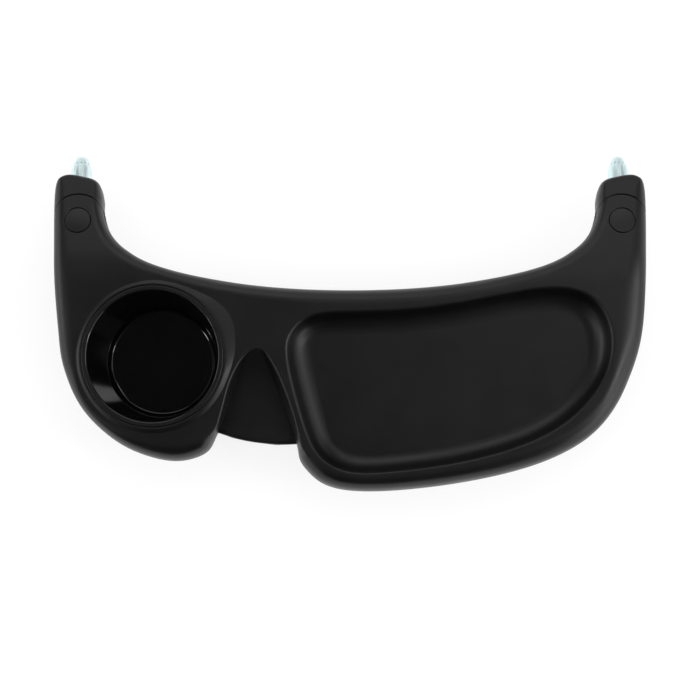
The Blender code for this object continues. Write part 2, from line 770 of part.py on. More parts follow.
def make_base_cover(material):
    outline = tray_outline(arm_end())
    rings = []
    for height, share in COVER_PROFILE:
        rings.append(ring(outline, cover_insets(outline, share), min(COVER_Z + height, PART_Z - GAP / 2)))
    item = thing("base_cover", ring_solid(rings), material)
    # The exact solver loses the cover here when the cup is made smaller.
    combine(item, "DIFFERENCE", [cover_hollow()], solver="MANIFOLD")
    seat = COVER_Z + TAPPER_RECESS + TAPPER_HEAD_THICKNESS + GAP
    cuts = [cylinder(CUP_HOLE_RADIUS, 0, 2 * LAND_Z, CUP_SIDES, (CUP_X, CUP_Y))]
    for x, y in SCREW_PLACES:
        hole = turned((
            (0, 0), (TAPPER_HEAD_RADIUS + GAP, 0), (TAPPER_HEAD_RADIUS + GAP, seat),
            (TAPPER_RADIUS + GAP, seat), (TAPPER_RADIUS + GAP, LAND_Z), (0, LAND_Z),
        ), HOLE_SIDES)
        bmesh.ops.translate(hole, verts=hole.verts, vec=(x, y, 0))
        cuts.append(hole)
    cuts += [at_pivot(side, cylinder(BORE_RADIUS, FLOOR_V - OVERRUN, OVERRUN)) for side in (-1, 1)]
    nut_gap = NUT_ACROSS_FLATS + 2 * GAP
    nuts = [at_pivot(side, hexagon(nut_gap, FLOOR_V - OVERRUN, NUT_HIGH + GAP)) for side in (-1, 1)]
    ends = [at_pivot(side, beyond_seam(KNUCKLE_RADIUS, 0)) for side in (-1, 1)]
    combine(item, "DIFFERENCE", [together(cuts), together(nuts), *ends])
    bend_arms(item)
    finish_shading(item)
    return item


def make_cup_liner(material):
    taper = (CUP_MOUTH_RADIUS - CUP_FOOT_RADIUS) / (CUP_HEIGHT - CUP_FLOOR)
    ring_low = CUP_HEIGHT - RING_THICKNESS

    def inner(z):
        return CUP_MOUTH_RADIUS - taper * (CUP_HEIGHT - z)

    corner_top = CUP_FLOOR + INNER_CORNER
    floor_radius = inner(CUP_FLOOR)
    profile = (
        (0, 0), (inner(0) + CUP_WALL - FOOT_CHAMFER, 0), (inner(FOOT_CHAMFER) + CUP_WALL, FOOT_CHAMFER),
        (inner(ring_low) + CUP_WALL, ring_low), (RING_RADIUS, ring_low),
        (RING_RADIUS, CUP_HEIGHT - RING_CHAMFER), (RING_RADIUS - RING_CHAMFER, CUP_HEIGHT),
        (CUP_MOUTH_RADIUS + MOUTH_CHAMFER, CUP_HEIGHT), (CUP_MOUTH_RADIUS, CUP_HEIGHT - MOUTH_CHAMFER),
        (inner(corner_top), corner_top),
        (floor_radius - INNER_CORNER_CUT, CUP_FLOOR + INNER_CORNER_CUT),
        (floor_radius - INNER_CORNER, CUP_FLOOR), (0, CUP_FLOOR),
    )
    item = thing("cup_liner", turned(profile, CUP_SIDES), material)
    item.location = (CUP_X, CUP_Y, 0)
    finish_shading(item)
    return item


def make_cover_screws(material):
    low = COVER_Z + TAPPER_RECESS
    neck = low + TAPPER_HEAD_THICKNESS
    tip = neck + TAPPER_LENGTH
    profile = (
        (0, low), (TAPPER_HEAD_RADIUS * TAPPER_CROWN, low),
        (TAPPER_HEAD_RADIUS, low + TAPPER_HEAD_THICKNESS / 2), (TAPPER_HEAD_RADIUS, neck),
        (TAPPER_RADIUS, neck), (TAPPER_RADIUS, tip - TAPPER_POINT), (0, tip),
    )
    first = thing("cover_screw_1", turned(profile, TAPPER_SIDES), material)
    finish_shading(first)
    first.location = (*SCREW_PLACES[0], 0)
    for number, place in enumerate(SCREW_PLACES[1:], start=2):
        item = bpy.data.objects.new(f"cover_screw_{number}", first.data)
        bpy.context.scene.collection.objects.link(item)
        item.location = (*place, 0)


# The swivelling ends

def pivot_empty(name, side):
    """Empty on a swivel's axis, turned by the arm's droop: its Z is the axis, its Y the prong's way."""
    empty = bpy.data.objects.new(name + "_swivel_axis", None)
    bpy.context.scene.collection.objects.link(empty)
    empty.location = bent((side * PIVOT_X, PIVOT_Y, PART_Z))
    empty.rotation_euler = (-DROOP, 0, 0)
    return empty


def make_connector(name, side, axis, material):
    outline = tray_outline(arm_end())
    rings = []
    for height, share in COVER_PROFILE[:-1]:
        rings.append(ring(outline, cover_insets(outline, share), COVER_Z + height))
    for depth, round_share, crease_share, roll in TOP_PROFILE:
        insets = top_insets(outline, round_share, crease_share, roll)
        rings.append(ring(outline, insets, LAND_Z - depth))
    mesh = ring_solid(rings)
    bmesh.ops.translate(mesh, verts=mesh.verts, vec=(-side * PIVOT_X, -PIVOT_Y, -PART_Z))
    item = thing(name + "_connector", mesh, material)
    combine(item, "INTERSECT", [beyond_seam(SEAM_RADIUS, SEAM_START)])

    neck_sides = sorted((side * NECK_OUTER, -side * NECK_INNER))
    neck_v = KNUCKLE_RADIUS * NECK_START
    neck = block((neck_sides[0], neck_v, TONGUE_LOW), (neck_sides[1], SEAM_RADIUS + NECK_ROOT, TONGUE_HIGH))
    combine(item, "UNION", [neck, cylinder(TONGUE_RADIUS, TONGUE_LOW, TONGUE_HIGH, KNUCKLE_SIDES)])

    along = Matrix.Rotation(-pi / 2, 4, "X")
    place = Matrix.Translation((side * PRONG_OFFSET, 0, PRONG_HEIGHT)) @ along
    prong_bore = turned(prong_bore_profile())
    bmesh.ops.transform(prong_bore, verts=prong_bore.verts, matrix=place)
    pin_top = FLOOR_V + CROSS_PIN_RECESS + CROSS_PIN_LENGTH + GAP
    pin_place = (side * PRONG_OFFSET, CROSS_PIN_V)
    pin_bore = cylinder(CROSS_PIN_RADIUS + GAP, FLOOR_V - OVERRUN, pin_top, HOLE_SIDES, pin_place)
    sleeve_bore = cylinder(SLEEVE_RADIUS + GAP, TONGUE_LOW - OVERRUN, TONGUE_HIGH + OVERRUN)
    combine(item, "DIFFERENCE", [prong_bore, pin_bore, sleeve_bore])
    item.parent = axis
    finish_shading(item)
    return item


def prong_bore_profile():
    """Bore for the prong with its spot face, from the bore's end outwards: radius and v."""
    shank = SHANK_RADIUS + GAP
    body = PRONG_RADIUS + GAP
    face = body + SPOT_FACE_WIDTH
    return (
        (0, SHANK_END_V - GAP), (shank, SHANK_END_V - GAP), (shank, PRONG_FOOT_V - GAP),
        (body, PRONG_FOOT_V - GAP), (body, SPOT_FACE_V), (face, SPOT_FACE_V),
        (face, END_REACH + OVERRUN), (0, END_REACH + OVERRUN),
    )


def prong_profile():
    """Radius and place along the prong, from its tip back to the end of its shank."""
    tip = END_REACH + PRONG_REACH
    points = [(PRONG_RADIUS * share, tip - back) for back, share in PRONG_NOSE]
    return points + [
        (PRONG_RADIUS, PRONG_FOOT_V), (SHANK_RADIUS, PRONG_FOOT_V),
        (SHANK_RADIUS, SHANK_END_V + SHANK_CHAMFER), (SHANK_RADIUS - SHANK_CHAMFER, SHANK_END_V),
        (0, SHANK_END_V),
    ]


def make_prong(name, side, axis, material):
    mesh = turned(prong_profile()[::-1])
    item = thing(name + "_prong", mesh, material)
    drill = cylinder(CROSS_PIN_RADIUS + GAP, -OVERRUN, OVERRUN, HOLE_SIDES)
    bmesh.ops.transform(
        drill, verts=drill.verts,
        matrix=Matrix.Translation((0, 0, CROSS_PIN_V)) @ Matrix.Rotation(pi / 2, 4, "X"),
    )
    combine(item, "DIFFERENCE", [drill])
    item.parent = axis
    item.location = (side * PRONG_OFFSET, 0, PRONG_HEIGHT)
    item.rotation_euler = (-pi / 2, 0, 0)
    finish_shading(item)
    return item


def make_cross_pin(name, side, axis, material):
    low = FLOOR_V + CROSS_PIN_RECESS
    radius = CROSS_PIN_RADIUS
    high = low + CROSS_PIN_LENGTH
    profile = (
        (0, low), (radius - CHAMFER, low), (radius, low + CHAMFER), (radius, high - CHAMFER),
        (radius - CHAMFER, high), (0, high),
    )
    item = thing(name + "_cross_pin", turned(profile, HOLE_SIDES), material)
    item.parent = axis
    item.location = (side * PRONG_OFFSET, CROSS_PIN_V, 0)
    finish_shading(item)
    return item


def tube(name, inner, outer, low, high, axis, material):
    item = thing(name, turned(((inner, low), (outer, low), (outer, high), (inner, high))), material)
    item.parent = axis
    finish_shading(item)
    return item


def make_wave_washer(name, axis, material):
    inner = SLEEVE_RADIUS + GAP
    mesh = turned((
        (inner, WAVE_LOW + WAVE_HEIGHT), (WASHER_RADIUS, WAVE_LOW + WAVE_HEIGHT),
        (WASHER_RADIUS, WAVE_LOW + WAVE_HEIGHT + WAVE_WASHER_THICKNESS),
        (inner, WAVE_LOW + WAVE_HEIGHT + WAVE_WASHER_THICKNESS),
    ), BLOCK_SIDES)
    for vert in mesh.verts:
        vert.co.z += WAVE_HEIGHT * cos(WAVES * atan2(vert.co.y, vert.co.x))
    item = thing(name + "_wave_washer", mesh, material)
    item.parent = axis
    finish_shading(item)
    return item


def make_pivot_screw(name, axis, material):
    head_high = HEAD_FLOOR + HEAD_THICKNESS
    tip = NUT_LOW + SCREW_SHORT
    profile = (
        (0, tip), (SCREW_RADIUS - SCREW_END_CHAMFER, tip), (SCREW_RADIUS, tip + SCREW_END_CHAMFER),
        (SCREW_RADIUS, HEAD_FLOOR), (HEAD_RADIUS, HEAD_FLOOR), (HEAD_RADIUS, head_high - HEAD_CHAMFER),
        (HEAD_RADIUS - HEAD_CHAMFER, head_high), (0, head_high),
    )
    item = thing(name + "_pivot_screw", turned(profile), material)
    socket = cylinder(SOCKET_RADIUS, head_high - SOCKET_DEPTH, head_high + OVERRUN, HEX_SIDES)
    combine(item, "DIFFERENCE", [socket])
    item.parent = axis
    finish_shading(item)
    return item


def make_pivot_nut(name, axis, material):
    item = thing(name + "_pivot_nut", hexagon(NUT_ACROSS_FLATS, NUT_LOW, NUT_HIGH), material)
    combine(item, "DIFFERENCE", [cylinder(BORE_RADIUS, NUT_LOW - OVERRUN, NUT_HIGH + OVERRUN)])
    item.parent = axis
    finish_shading(item)
    return item


def make_pivot_cap(name, axis, material):
    profile = (
        (0, CAP_FLOOR), (CAP_RADIUS, CAP_FLOOR), (CAP_RADIUS, LAND_V - CHAMFER),
        (CAP_RADIUS - CHAMFER, LAND_V), (0, LAND_V),
    )
    item = thing(name + "_pivot_cap", turned(profile, KNUCKLE_SIDES), material)
    item.parent = axis
    finish_shading(item)
    return item


def make_swivel(name, side, black, steel, bright):
    axis = pivot_empty(name, side)
    make_connector(name, side, axis, black)
    make_prong(name, side, axis, bright)
    make_cross_pin(name, side, axis, steel)
    make_pivot_screw(name, axis, steel)
    make_pivot_nut(name, axis, steel)
    make_pivot_cap(name, axis, black)
    make_wave_washer(name, axis, steel)
    tube(name + "_pivot_sleeve", BORE_RADIUS, SLEEVE_RADIUS, SLOT_FLOOR + GAP, SLOT_ROOF - GAP, axis, steel)
    tube(
        name + "_friction_washer", SLEEVE_RADIUS + GAP, WASHER_RADIUS, SLOT_FLOOR + GAP, FRICTION_TOP,
        axis, plastic("grey_nylon", (0.45, 0.45, 0.43), 0.5),
    )


def main():
    clear_scene()
    black = plastic("satin_black_plastic", (0.021, 0.021, 0.021), 0.42)
    gloss = plastic("gloss_black_plastic", (0.008, 0.008, 0.008), 0.12)
    steel = metal("zinc_plated_steel", (0.55, 0.56, 0.58), 0.35)
    bright = metal("bright_plated_steel", (0.80, 0.84, 0.86), 0.22)
    make_tray_top(black)
    make_base_cover(black)
    make_cup_liner(gloss)
    make_cover_screws(steel)
    for name, side in (("left", -1), ("right", 1)):
        make_swivel(name, side, black, steel, bright)


main()
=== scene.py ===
"""Looks of the pushchair snack tray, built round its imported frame.

Metres, +Z up, in the frame's own coordinates: +X runs across the tray, +Y towards the prongs, and
z = 0 is the cup's underside. The shells are drawn flat and their arms are then bent down, as in the
part's source. Some outer edges are rounded over a wider strip here than on the solids.
"""
from math import atan2, cos, hypot, pi, radians, sin, tan

import bmesh
import bpy
import numpy as np
from mathutils import Matrix, Vector
from mathutils.geometry import delaunay_2d_cdt


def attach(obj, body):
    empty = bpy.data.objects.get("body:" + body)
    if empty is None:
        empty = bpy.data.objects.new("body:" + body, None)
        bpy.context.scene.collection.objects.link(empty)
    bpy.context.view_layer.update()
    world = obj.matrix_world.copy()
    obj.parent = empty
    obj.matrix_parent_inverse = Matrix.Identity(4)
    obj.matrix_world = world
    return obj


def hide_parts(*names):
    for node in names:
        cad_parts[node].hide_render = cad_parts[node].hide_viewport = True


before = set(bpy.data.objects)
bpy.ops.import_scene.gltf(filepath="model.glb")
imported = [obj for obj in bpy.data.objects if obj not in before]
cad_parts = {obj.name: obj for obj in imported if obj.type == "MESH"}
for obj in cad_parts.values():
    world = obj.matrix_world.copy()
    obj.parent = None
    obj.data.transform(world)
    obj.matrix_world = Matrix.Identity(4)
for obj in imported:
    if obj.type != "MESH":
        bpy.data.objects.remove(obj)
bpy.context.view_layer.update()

# Sizes shared with the part's source
GAP = 0.0003
CHAMFER = 0.0003
# How far a cutting tool runs past what it cuts
OVERRUN = 0.0100

CUP_X = -0.1322
CUP_Y = -0.0245
CUP_MOUTH_RADIUS = 0.0440
CUP_FOOT_RADIUS = 0.0377
CUP_HEIGHT = 0.0725
CUP_WALL = 0.0020
CUP_FLOOR = 0.0025
RING_RADIUS = 0.0476
RING_THICKNESS = 0.0026
RING_PROUD = 0.0020
CUP_HOLE_RADIUS = CUP_MOUTH_RADIUS + CUP_WALL + GAP
COLLAR_TOP_WIDTH = 0.0011
COLLAR_SHY = 0.0002
LAND_Z = CUP_HEIGHT - RING_PROUD
SHELL_HEIGHT = 0.0260
COVER_HEIGHT = 0.0080
COVER_Z = LAND_Z - SHELL_HEIGHT
PART_Z = COVER_Z + COVER_HEIGHT
WELL_DEPTH = 0.0140
DROOP = radians(12)
BEND_START = 0.0250
BEND_LENGTH = 0.0200
BEND_RADIUS = BEND_LENGTH / DROOP

PIVOT_X = 0.1843
PIVOT_Y = 0.0651
KNUCKLE_OUTER = 0.0180
KNUCKLE_INNER = 0.0143
KNUCKLE_RADIUS = 0.0187
END_REACH = 0.0350
SEAM_START = 0.0090
SEAM_CHAMFER = 0.0004
EAR_THICKNESS = 0.0085
CAP_RADIUS = 0.0086
CAP_THICKNESS = 0.0022
SCREW_RADIUS = 0.0030
HEAD_RADIUS = 0.0060
HEAD_SEAT = 0.0030
SLEEVE_WALL = 0.0012
TONGUE_RADIUS = 0.0165
NECK_OUTER = 0.0140
NECK_INNER = 0.0120
NECK_ROOT = 0.0020
NECK_START = 0.35
FRICTION_WASHER_THICKNESS = 0.0005
WAVE_WASHER_THICKNESS = 0.0003
WAVE_HEIGHT = 0.0001
NUT_ACROSS_FLATS = 0.0100
NUT_THICKNESS = 0.0048
NUT_RECESS = 0.0005
PRONG_OFFSET = 0.0008
PRONG_HEIGHT = 0.0050
PRONG_RADIUS = 0.0072
PRONG_REACH = 0.0164
PRONG_SEAT = 0.0034
PRONG_SINK = 0.0020
SPOT_FACE_WIDTH = 0.0011
SHANK_RADIUS = 0.0048
SHANK_LENGTH = 0.0076
SHANK_CHAMFER = 0.0006
CROSS_PIN_RADIUS = 0.0015
CROSS_PIN_LENGTH = 0.0165
CROSS_PIN_RECESS = 0.0004
SCREW_PLACES = (
    (-0.1860, 0.0180), (0.1860, 0.0180), (-0.0700, 0.0116), (0.0100, 0.0138),
    (0.1050, 0.0208), (-0.1040, -0.0804), (0.1866, -0.0204), (0.0400, -0.1068),
)
TAPPER_RADIUS = 0.0015
TAPPER_HEAD_RADIUS = 0.0031
TAPPER_HEAD_THICKNESS = 0.0022
TAPPER_LENGTH = 0.0155
TAPPER_RECESS = 0.0005

# What only the looks need: bend and edge finish, then the cup, swivels, prongs and screws
BEND_CUTS = 20
SHARP_ANGLE = radians(30)
WELD = 0.000004
MOUTH_BAND = 0.0008
FOOT_HOLLOW = 0.0006
FOOT_HOLLOW_RADII = (0.0260, 0.0265)
FOOT_FILLET = 0.0022
UNDER_RING_FILLET = 0.0006
RING_LOWER_FILLET = 0.0003
RING_UPPER_FILLET = 0.0007
MOUTH_FILLET = 0.0014
CUP_FLOOR_FILLET = 0.0034
TONGUE_FILLET = 0.0004
CAP_LOWER_FILLET = 0.0003
CAP_UPPER_FILLET = 0.00035
NUT_CORNER = 0.0007
NUT_CORNER_RISE = NUT_CORNER * 0.55
NUT_BORE_CHAMFER = (0.0005, 0.0004)
# Prong from its tip: how far back, radius
PRONG_TIP = (
    (0.0, 0.0), (0.0001, 0.0009), (0.0004, 0.0018), (0.0012, 0.0031), (0.0024, 0.0041),
    (0.0042, 0.0049), (0.0056, 0.0053), (0.0060, 0.0055), (0.0063, 0.0056), (0.0067, 0.0057),
    (0.0074, 0.0060), (0.0083, 0.0064), (0.0094, 0.0067), (0.0107, 0.0070), (0.0123, 0.00715),
    (0.0140, PRONG_RADIUS),
)
FLUTES = 12
FLUTE_DEPTH = 0.0002
# How far back from the tip the flutes start, are full, start to fade and end
FLUTE_RUN = (0.0080, 0.0095, 0.0110, 0.0150)
DIMPLE_DEPTH = 0.0008
DIMPLE_BACK = 0.0063
DIMPLE_REACH = 0.0005
# Cover's screws: the head's edge as shares of its radius and heights over its face. Then the thread,
# whose crest and root are shares of its pitch.
TAPPER_HEAD_EDGE = ((0.70, 0.0), (0.90, 0.0003), (1.0, 0.0009))
TAPPER_CORE = 0.78
TAPPER_POINT = 0.0022
THREAD_PITCH = 0.0011
THREAD_CREST = 0.3
THREAD_ROOT = 0.6
THREAD_START = 0.0008
THREAD_STOP = 0.0032
CROSS_WIDTH = 0.0009
CROSS_REACH = 0.0019
CROSS_DEPTH = 0.0011
# Turn from one screw's cross to the next, in radians
CROSS_TURN = 0.7

# Outline of the tray from above. Each row: x, y, width of the rounded or flared edge, how crisp the
# crease is, and how far the top rolls in. Two rows beside the notch go on with their share of the
# notch's wall and the depth of that wall.
RIGHT_LOBE = (
    (-0.0352, -0.0868, 0.0034, 0.8, 0.0008, 0.3, 0.0150),
    (-0.0338, -0.0937, 0.0056, 1.0, 0.0024),
    (-0.0290, -0.1008, 0.0060, 1.0, 0.0034),
    (-0.0205, -0.1083, 0.0058, 1.0, 0.0042),
    (-0.0102, -0.1126, 0.0051, 1.0, 0.0046),
    (0.0020, -0.1145, 0.0049, 1.0, 0.0046),
    (0.0240, -0.1146, 0.0049, 1.0, 0.0047),
    (0.0600, -0.1112, 0.0050, 1.0, 0.0052),
    (0.1000, -0.1040, 0.0051, 1.0, 0.0062),
    (0.1338, -0.0937, 0.0053, 1.0, 0.0066),
    (0.1590, -0.0802, 0.0055, 1.0, 0.0070),
    (0.1732, -0.0667, 0.0060, 0.9, 0.0070),
    (0.1822, -0.0532, 0.0080, 0.7, 0.0060),
    (0.1887, -0.0390, 0.0108, 0.5, 0.0045),
    (0.1941, -0.0240, 0.0138, 0.3, 0.0030),
    (0.1975, -0.0090, 0.0165, 0.1, 0.0010),
    (0.1996, 0.0120, 0.0175),
)
# The left lobe follows the cup: angle round the cup in degrees, land outside the ring, then the
# same columns from the edge's width on.
LEFT_LOBE = (
    (169, 0.0180, 0.0108),
    (181, 0.0150, 0.0092, 0.1, 0.0004),
    (194, 0.0128, 0.0072, 0.3, 0.0004),
    (208, 0.0121, 0.0050, 0.6, 0.0012),
    (224, 0.0123, 0.0040, 0.9, 0.0024),
    (244, 0.0143, 0.0040, 1.0, 0.0040),
    (257, 0.0168, 0.0040, 1.0, 0.0058),
    (270, 0.0202, 0.0040, 1.0, 0.0074),
    (282, 0.0239, 0.0040, 1.0, 0.0070),
    (292, 0.0256, 0.0042, 1.0, 0.0060),
    (300, 0.0252, 0.0040, 1.0, 0.0046),
    (306, 0.0216, 0.0034, 0.8, 0.0026, 0.1, 0.0155),
)
LEFT_FLANK = (
    (-0.1997, 0.0200, 0.0116),
)
BACK = (
    (0.1450, 0.0425, 0.0088),
    (0.1220, 0.0341, 0.0090),
    (0.0920, 0.0281, 0.0093),
    (0.0510, 0.0230, 0.0100),
    (0.0, 0.0210, 0.0105),
    (-0.0510, 0.0230, 0.0100),
    (-0.0920, 0.0281, 0.0086),
    (-0.1220, 0.0341, 0.0068),
    (-0.1450, 0.0425, 0.0082),
)
# Arm's sides: how far in from the knuckle's side, v from the swivel's axis, edge width
ARM_OUTER_SIDE = (
    (0.0010, -0.0150, 0.0110),
    (0.0002, 0.0050, 0.0096),
)
ARM_INNER_SIDE = (
    (-0.0013, 0.0125, 0.0074),
    (-0.0042, 0.0007, 0.0084),
    (-0.0107, -0.0110, 0.0092),
)
# The end's corners: how far in from the knuckle's side, back from the end's face, edge width
END_OUTER_CORNER = (
    (0.0, 0.0142, 0.0084),
    (0.0008, 0.0066, 0.0058),
    (0.0026, 0.0030, 0.0040),
    (0.0060, 0.0009, 0.0034),
    (0.0100, 0.0, 0.0032),
    (0.0160, 0.0006, 0.0032),
)
END_INNER_CORNER = (
    (0.0108, 0.0018, 0.0032),
    (0.0066, 0.0029, 0.0032),
    (0.0033, 0.0044, 0.0036),
    (0.0010, 0.0070, 0.0042),
    (-0.0004, 0.0118, 0.0056),
    (-0.0012, 0.0170, 0.0068),
)
# The notch between the lobes, along its upper edge from the left lobe round the apex: x, y, width of
# its wall, depth of its wall
NOTCH_EDGE = (
    (-0.0886, -0.0713, 0.0013, 0.0140),
    (-0.0871, -0.0669, 0.0017, 0.0138),
    (-0.0852, -0.0598, 0.0023, 0.0134),
    (-0.0830, -0.0509, 0.0029, 0.0126),
    (-0.0811, -0.0438, 0.0032, 0.0116),
    (-0.0790, -0.0381, 0.0032, 0.0104),
    (-0.0763, -0.0322, 0.0028, 0.0086),
    (-0.0728, -0.0266, 0.0021, 0.0064),
    (-0.0682, -0.0218, 0.0013, 0.0040),
    (-0.0633, -0.0192, 0.0008, 0.0020),
    (-0.0589, -0.0200, 0.0010, 0.0026),
    (-0.0553, -0.0238, 0.0022, 0.0052),
    (-0.0516, -0.0299, 0.0036, 0.0080),
    (-0.0472, -0.0387, 0.0046, 0.0106),
    (-0.0427, -0.0502, 0.0050, 0.0126),
    (-0.0389, -0.0611, 0.0048, 0.0136),
    (-0.0356, -0.0726, 0.0038, 0.0142),
    (-0.0340, -0.0800, 0.0028, 0.0146),
)
# Front lip of the notch's floor, the width and crease of the cover's edge under it, and the lip's
# rounding: how far back, how far down
LIP = (
    (-0.0930, -0.0738), (-0.0888, -0.0755), (-0.0831, -0.0774), (-0.0754, -0.0797), (-0.0657, -0.0816),
    (-0.0560, -0.0828), (-0.0463, -0.0834), (-0.0357, -0.0830), (-0.0310, -0.0826),
)
LIP_WIDTH = 0.0030
LIP_CREASE = 0.7
LIP_ROUND = (
    (0.0026, 0.0), (0.0015, 0.00012), (0.00075, 0.0004), (0.00028, 0.0009), (0.00005, 0.0015),
    (0.0, 0.0023),
)
# Depth of the notch's floor along y, and the ends of its back edge under the apex
NOTCH_FLOOR = (
    (-0.0140, 0.0004), (-0.0186, 0.0010), (-0.0208, 0.0021), (-0.0259, 0.0048), (-0.0350, 0.0086),
    (-0.0480, 0.0116), (-0.0620, 0.0132), (-0.0750, 0.0139), (-0.0880, 0.0140),
)
NOTCH_BACK = ((-0.0705, -0.0150), (-0.0540, -0.0150))
NOTCH_FLOOR_COLUMNS = 40
NOTCH_FLOOR_ROWS = 44

# The rounded outer edge, from the parting plane up: depth below the land, share of the edge's width
ROUND_EDGE = (
    (0.0180, 0.0), (0.0112, 0.005), (0.0086, 0.025), (0.0067, 0.06), (0.0051, 0.12), (0.0037, 0.20),
    (0.0026, 0.29), (0.00176, 0.39), (0.00110, 0.50), (0.00061, 0.62), (0.00026, 0.75),
    (0.00007, 0.88), (0.0, 1.0),
)
# The creased edge: below the crease, shares of the height under it and of the edge's width, and then
# over it, shares of the crease's depth and of the roll
CREASED_EDGE = (
    (1.0, 0.0, 0.0), (0.80, 0.035, 0.0), (0.62, 0.10, 0.0), (0.47, 0.19, 0.0), (0.34, 0.31, 0.0),
    (0.225, 0.46, 0.0), (0.11, 0.71, 0.0), (0.0, 1.0, 0.0),
    (0.70, 1.0, 0.15), (0.45, 1.0, 0.32), (0.23, 1.0, 0.51), (0.07, 1.0, 0.73), (0.0, 1.0, 1.0),
)
CREASE_ROW = 7
CREASE_SLOPE = 0.42
# The notch's wall: share of its depth and of its width, then share of a small fillet at its rim. The
# rows without a depth lead up to its foot.
NOTCH_WALL = (
    (None, 0.0, 0.0), (None, 0.0, 0.0), (1.0, 0.0, 0.0), (0.88, 0.08, 0.0), (0.74, 0.19, 0.0),
    (0.60, 0.32, 0.0), (0.46, 0.46, 0.0), (0.32, 0.62, 0.0), (0.18, 0.80, 0.0), (0.075, 0.95, 0.0),
    (0.030, 1.0, 0.25), (0.008, 1.0, 0.6), (0.0, 1.0, 1.0),
)
NOTCH_WALL_FOOT = 2
NOTCH_RIM = 0.0011
NOTCH_RIM_SHARE = 0.4
LAND_BORDER = 0.0004
# The cover's outer edge from its underside up: height, share of the edge's width
COVER_PROFILE = (
    (0.0, 1.00), (0.0002, 0.82), (0.0006, 0.63), (0.0012, 0.47), (0.0020, 0.33), (0.0030, 0.21),
    (0.0042, 0.12), (0.0058, 0.045),
)
COVER_EDGE_MAX = 0.0080
CREASE_TUCK = 0.3

# Snack well: its upper edge with the plan width of its wall, and the wall as shares of depth and width
WELL_EDGE = (
    (-0.0421, -0.0218, 0.0158), (-0.0396, -0.0092, 0.0142), (-0.0295, 0.0010, 0.0132),
    (-0.0100, 0.0049, 0.0134), (0.0380, 0.0067, 0.0140), (0.0880, 0.0142, 0.0140),
    (0.1200, 0.0200, 0.0140), (0.1466, 0.0208, 0.0142), (0.1645, 0.0128, 0.0148),
    (0.1745, -0.0044, 0.0152), (0.1748, -0.0255, 0.0150), (0.1676, -0.0435, 0.0142),
    (0.1500, -0.0640, 0.0132), (0.1208, -0.0816, 0.0124), (0.0710, -0.0957, 0.0120),
    (0.0213, -0.1020, 0.0120), (-0.0045, -0.1006, 0.0124), (-0.0212, -0.0899, 0.0134),
    (-0.0300, -0.0719, 0.0150), (-0.0372, -0.0474, 0.0160),
)
WELL_WALL = (
    (0.0, -0.110), (0.004, -0.078), (0.016, -0.045), (0.038, -0.014), (0.074, 0.016), (0.125, 0.044),
    (0.205, 0.080), (0.31, 0.121), (0.42, 0.165), (0.53, 0.216), (0.63, 0.275), (0.725, 0.350),
    (0.81, 0.445), (0.88, 0.555), (0.935, 0.670), (0.972, 0.785), (0.993, 0.895), (1.0, 1.0),
)
WELL_FLOOR_BORDER = 0.0006

# Raised rim round the cup: angle in degrees, radius of its foot. Then its height over the land.
COLLAR_FOOT = (
    (0, 0.0551), (10, 0.0566), (20, 0.0583), (30, 0.0588), (42, 0.0565), (56, 0.0530), (72, 0.0514),
    (95, 0.0510), (130, 0.0510), (180, 0.0512), (230, 0.0512), (270, 0.0516), (305, 0.0520),
    (330, 0.0520), (345, 0.0526),
)
COLLAR_SLOPE = (
    (0.0, 0.0), (0.04, 0.00003), (0.09, 0.00012), (0.15, 0.00025), (0.50, 0.00096), (0.84, 0.00160),
    (0.94, 0.00173), (1.0, 0.00176),
)
COLLAR_RISE = RING_PROUD - COLLAR_SHY
COLLAR_TOP_ROUND = 0.00025
# Inner edge of the collar's top: out from the ring's seat, and down from the top
COLLAR_INNER_EDGE = ((0.00035, 0.0), (0.00010, 0.00012), (0.0, 0.0004))
LEDGE_CHAMFER = 0.0002
COLLAR_SIDES = 144


# Curves and outlines

def smooth_run(rows, steps=24):
    """Points along one smooth curve through the rows, which may carry more numbers than x and y."""
    rows = np.array(rows, dtype=float)
    gaps = np.sqrt(np.hypot(*(rows[1:, :2] - rows[:-1, :2]).T))
    count = len(rows)
    matrix = np.eye(count)
    right = np.zeros_like(rows)
    for i in range(1, count - 1):
        matrix[i, i - 1:i + 2] = gaps[i - 1], 2 * (gaps[i - 1] + gaps[i]), gaps[i]
        right[i] = 6 * ((rows[i + 1] - rows[i]) / gaps[i] - (rows[i] - rows[i - 1]) / gaps[i - 1])
    bend = np.linalg.solve(matrix, right)
    points = []
    for i in range(count - 1):
        for t in np.linspace(0, gaps[i], steps, endpoint=False):
            back = gaps[i] - t
            points.append(
                (bend[i] * back ** 3 + bend[i + 1] * t ** 3) / (6 * gaps[i])
                + (rows[i] / gaps[i] - bend[i] * gaps[i] / 6) * back
                + (rows[i + 1] / gaps[i] - bend[i + 1] * gaps[i] / 6) * t
            )
    points.append(rows[-1])
    return np.array(points)


def smooth_loop(rows, steps=24):
    """The same for a closed curve: the ends overlap by three rows, and the overlap is dropped."""
    lead = 3
    rows = list(rows)
    wrapped = rows[-lead:] + rows + rows[:lead + 1]
    return smooth_run(wrapped, steps)[lead * steps:(lead + len(rows)) * steps]


def thin(points, turn=radians(3.5), step=0.004):
    """Keeps only the points that the curve needs, by how far it has turned or run."""
    kept = [points[0]]
    turned_by = 0.0
    run = 0.0
    for before, here, after in zip(points[:-2], points[1:-1], points[2:]):
        first = atan2(here[1] - before[1], here[0] - before[0])
        second = atan2(after[1] - here[1], after[0] - here[0])
        turned_by += abs((second - first + pi) % (2 * pi) - pi)
        run += hypot(here[0] - before[0], here[1] - before[1])
        if turned_by > turn or run > step:
            kept.append(here)
            turned_by = 0.0
            run = 0.0
    return np.array(kept)


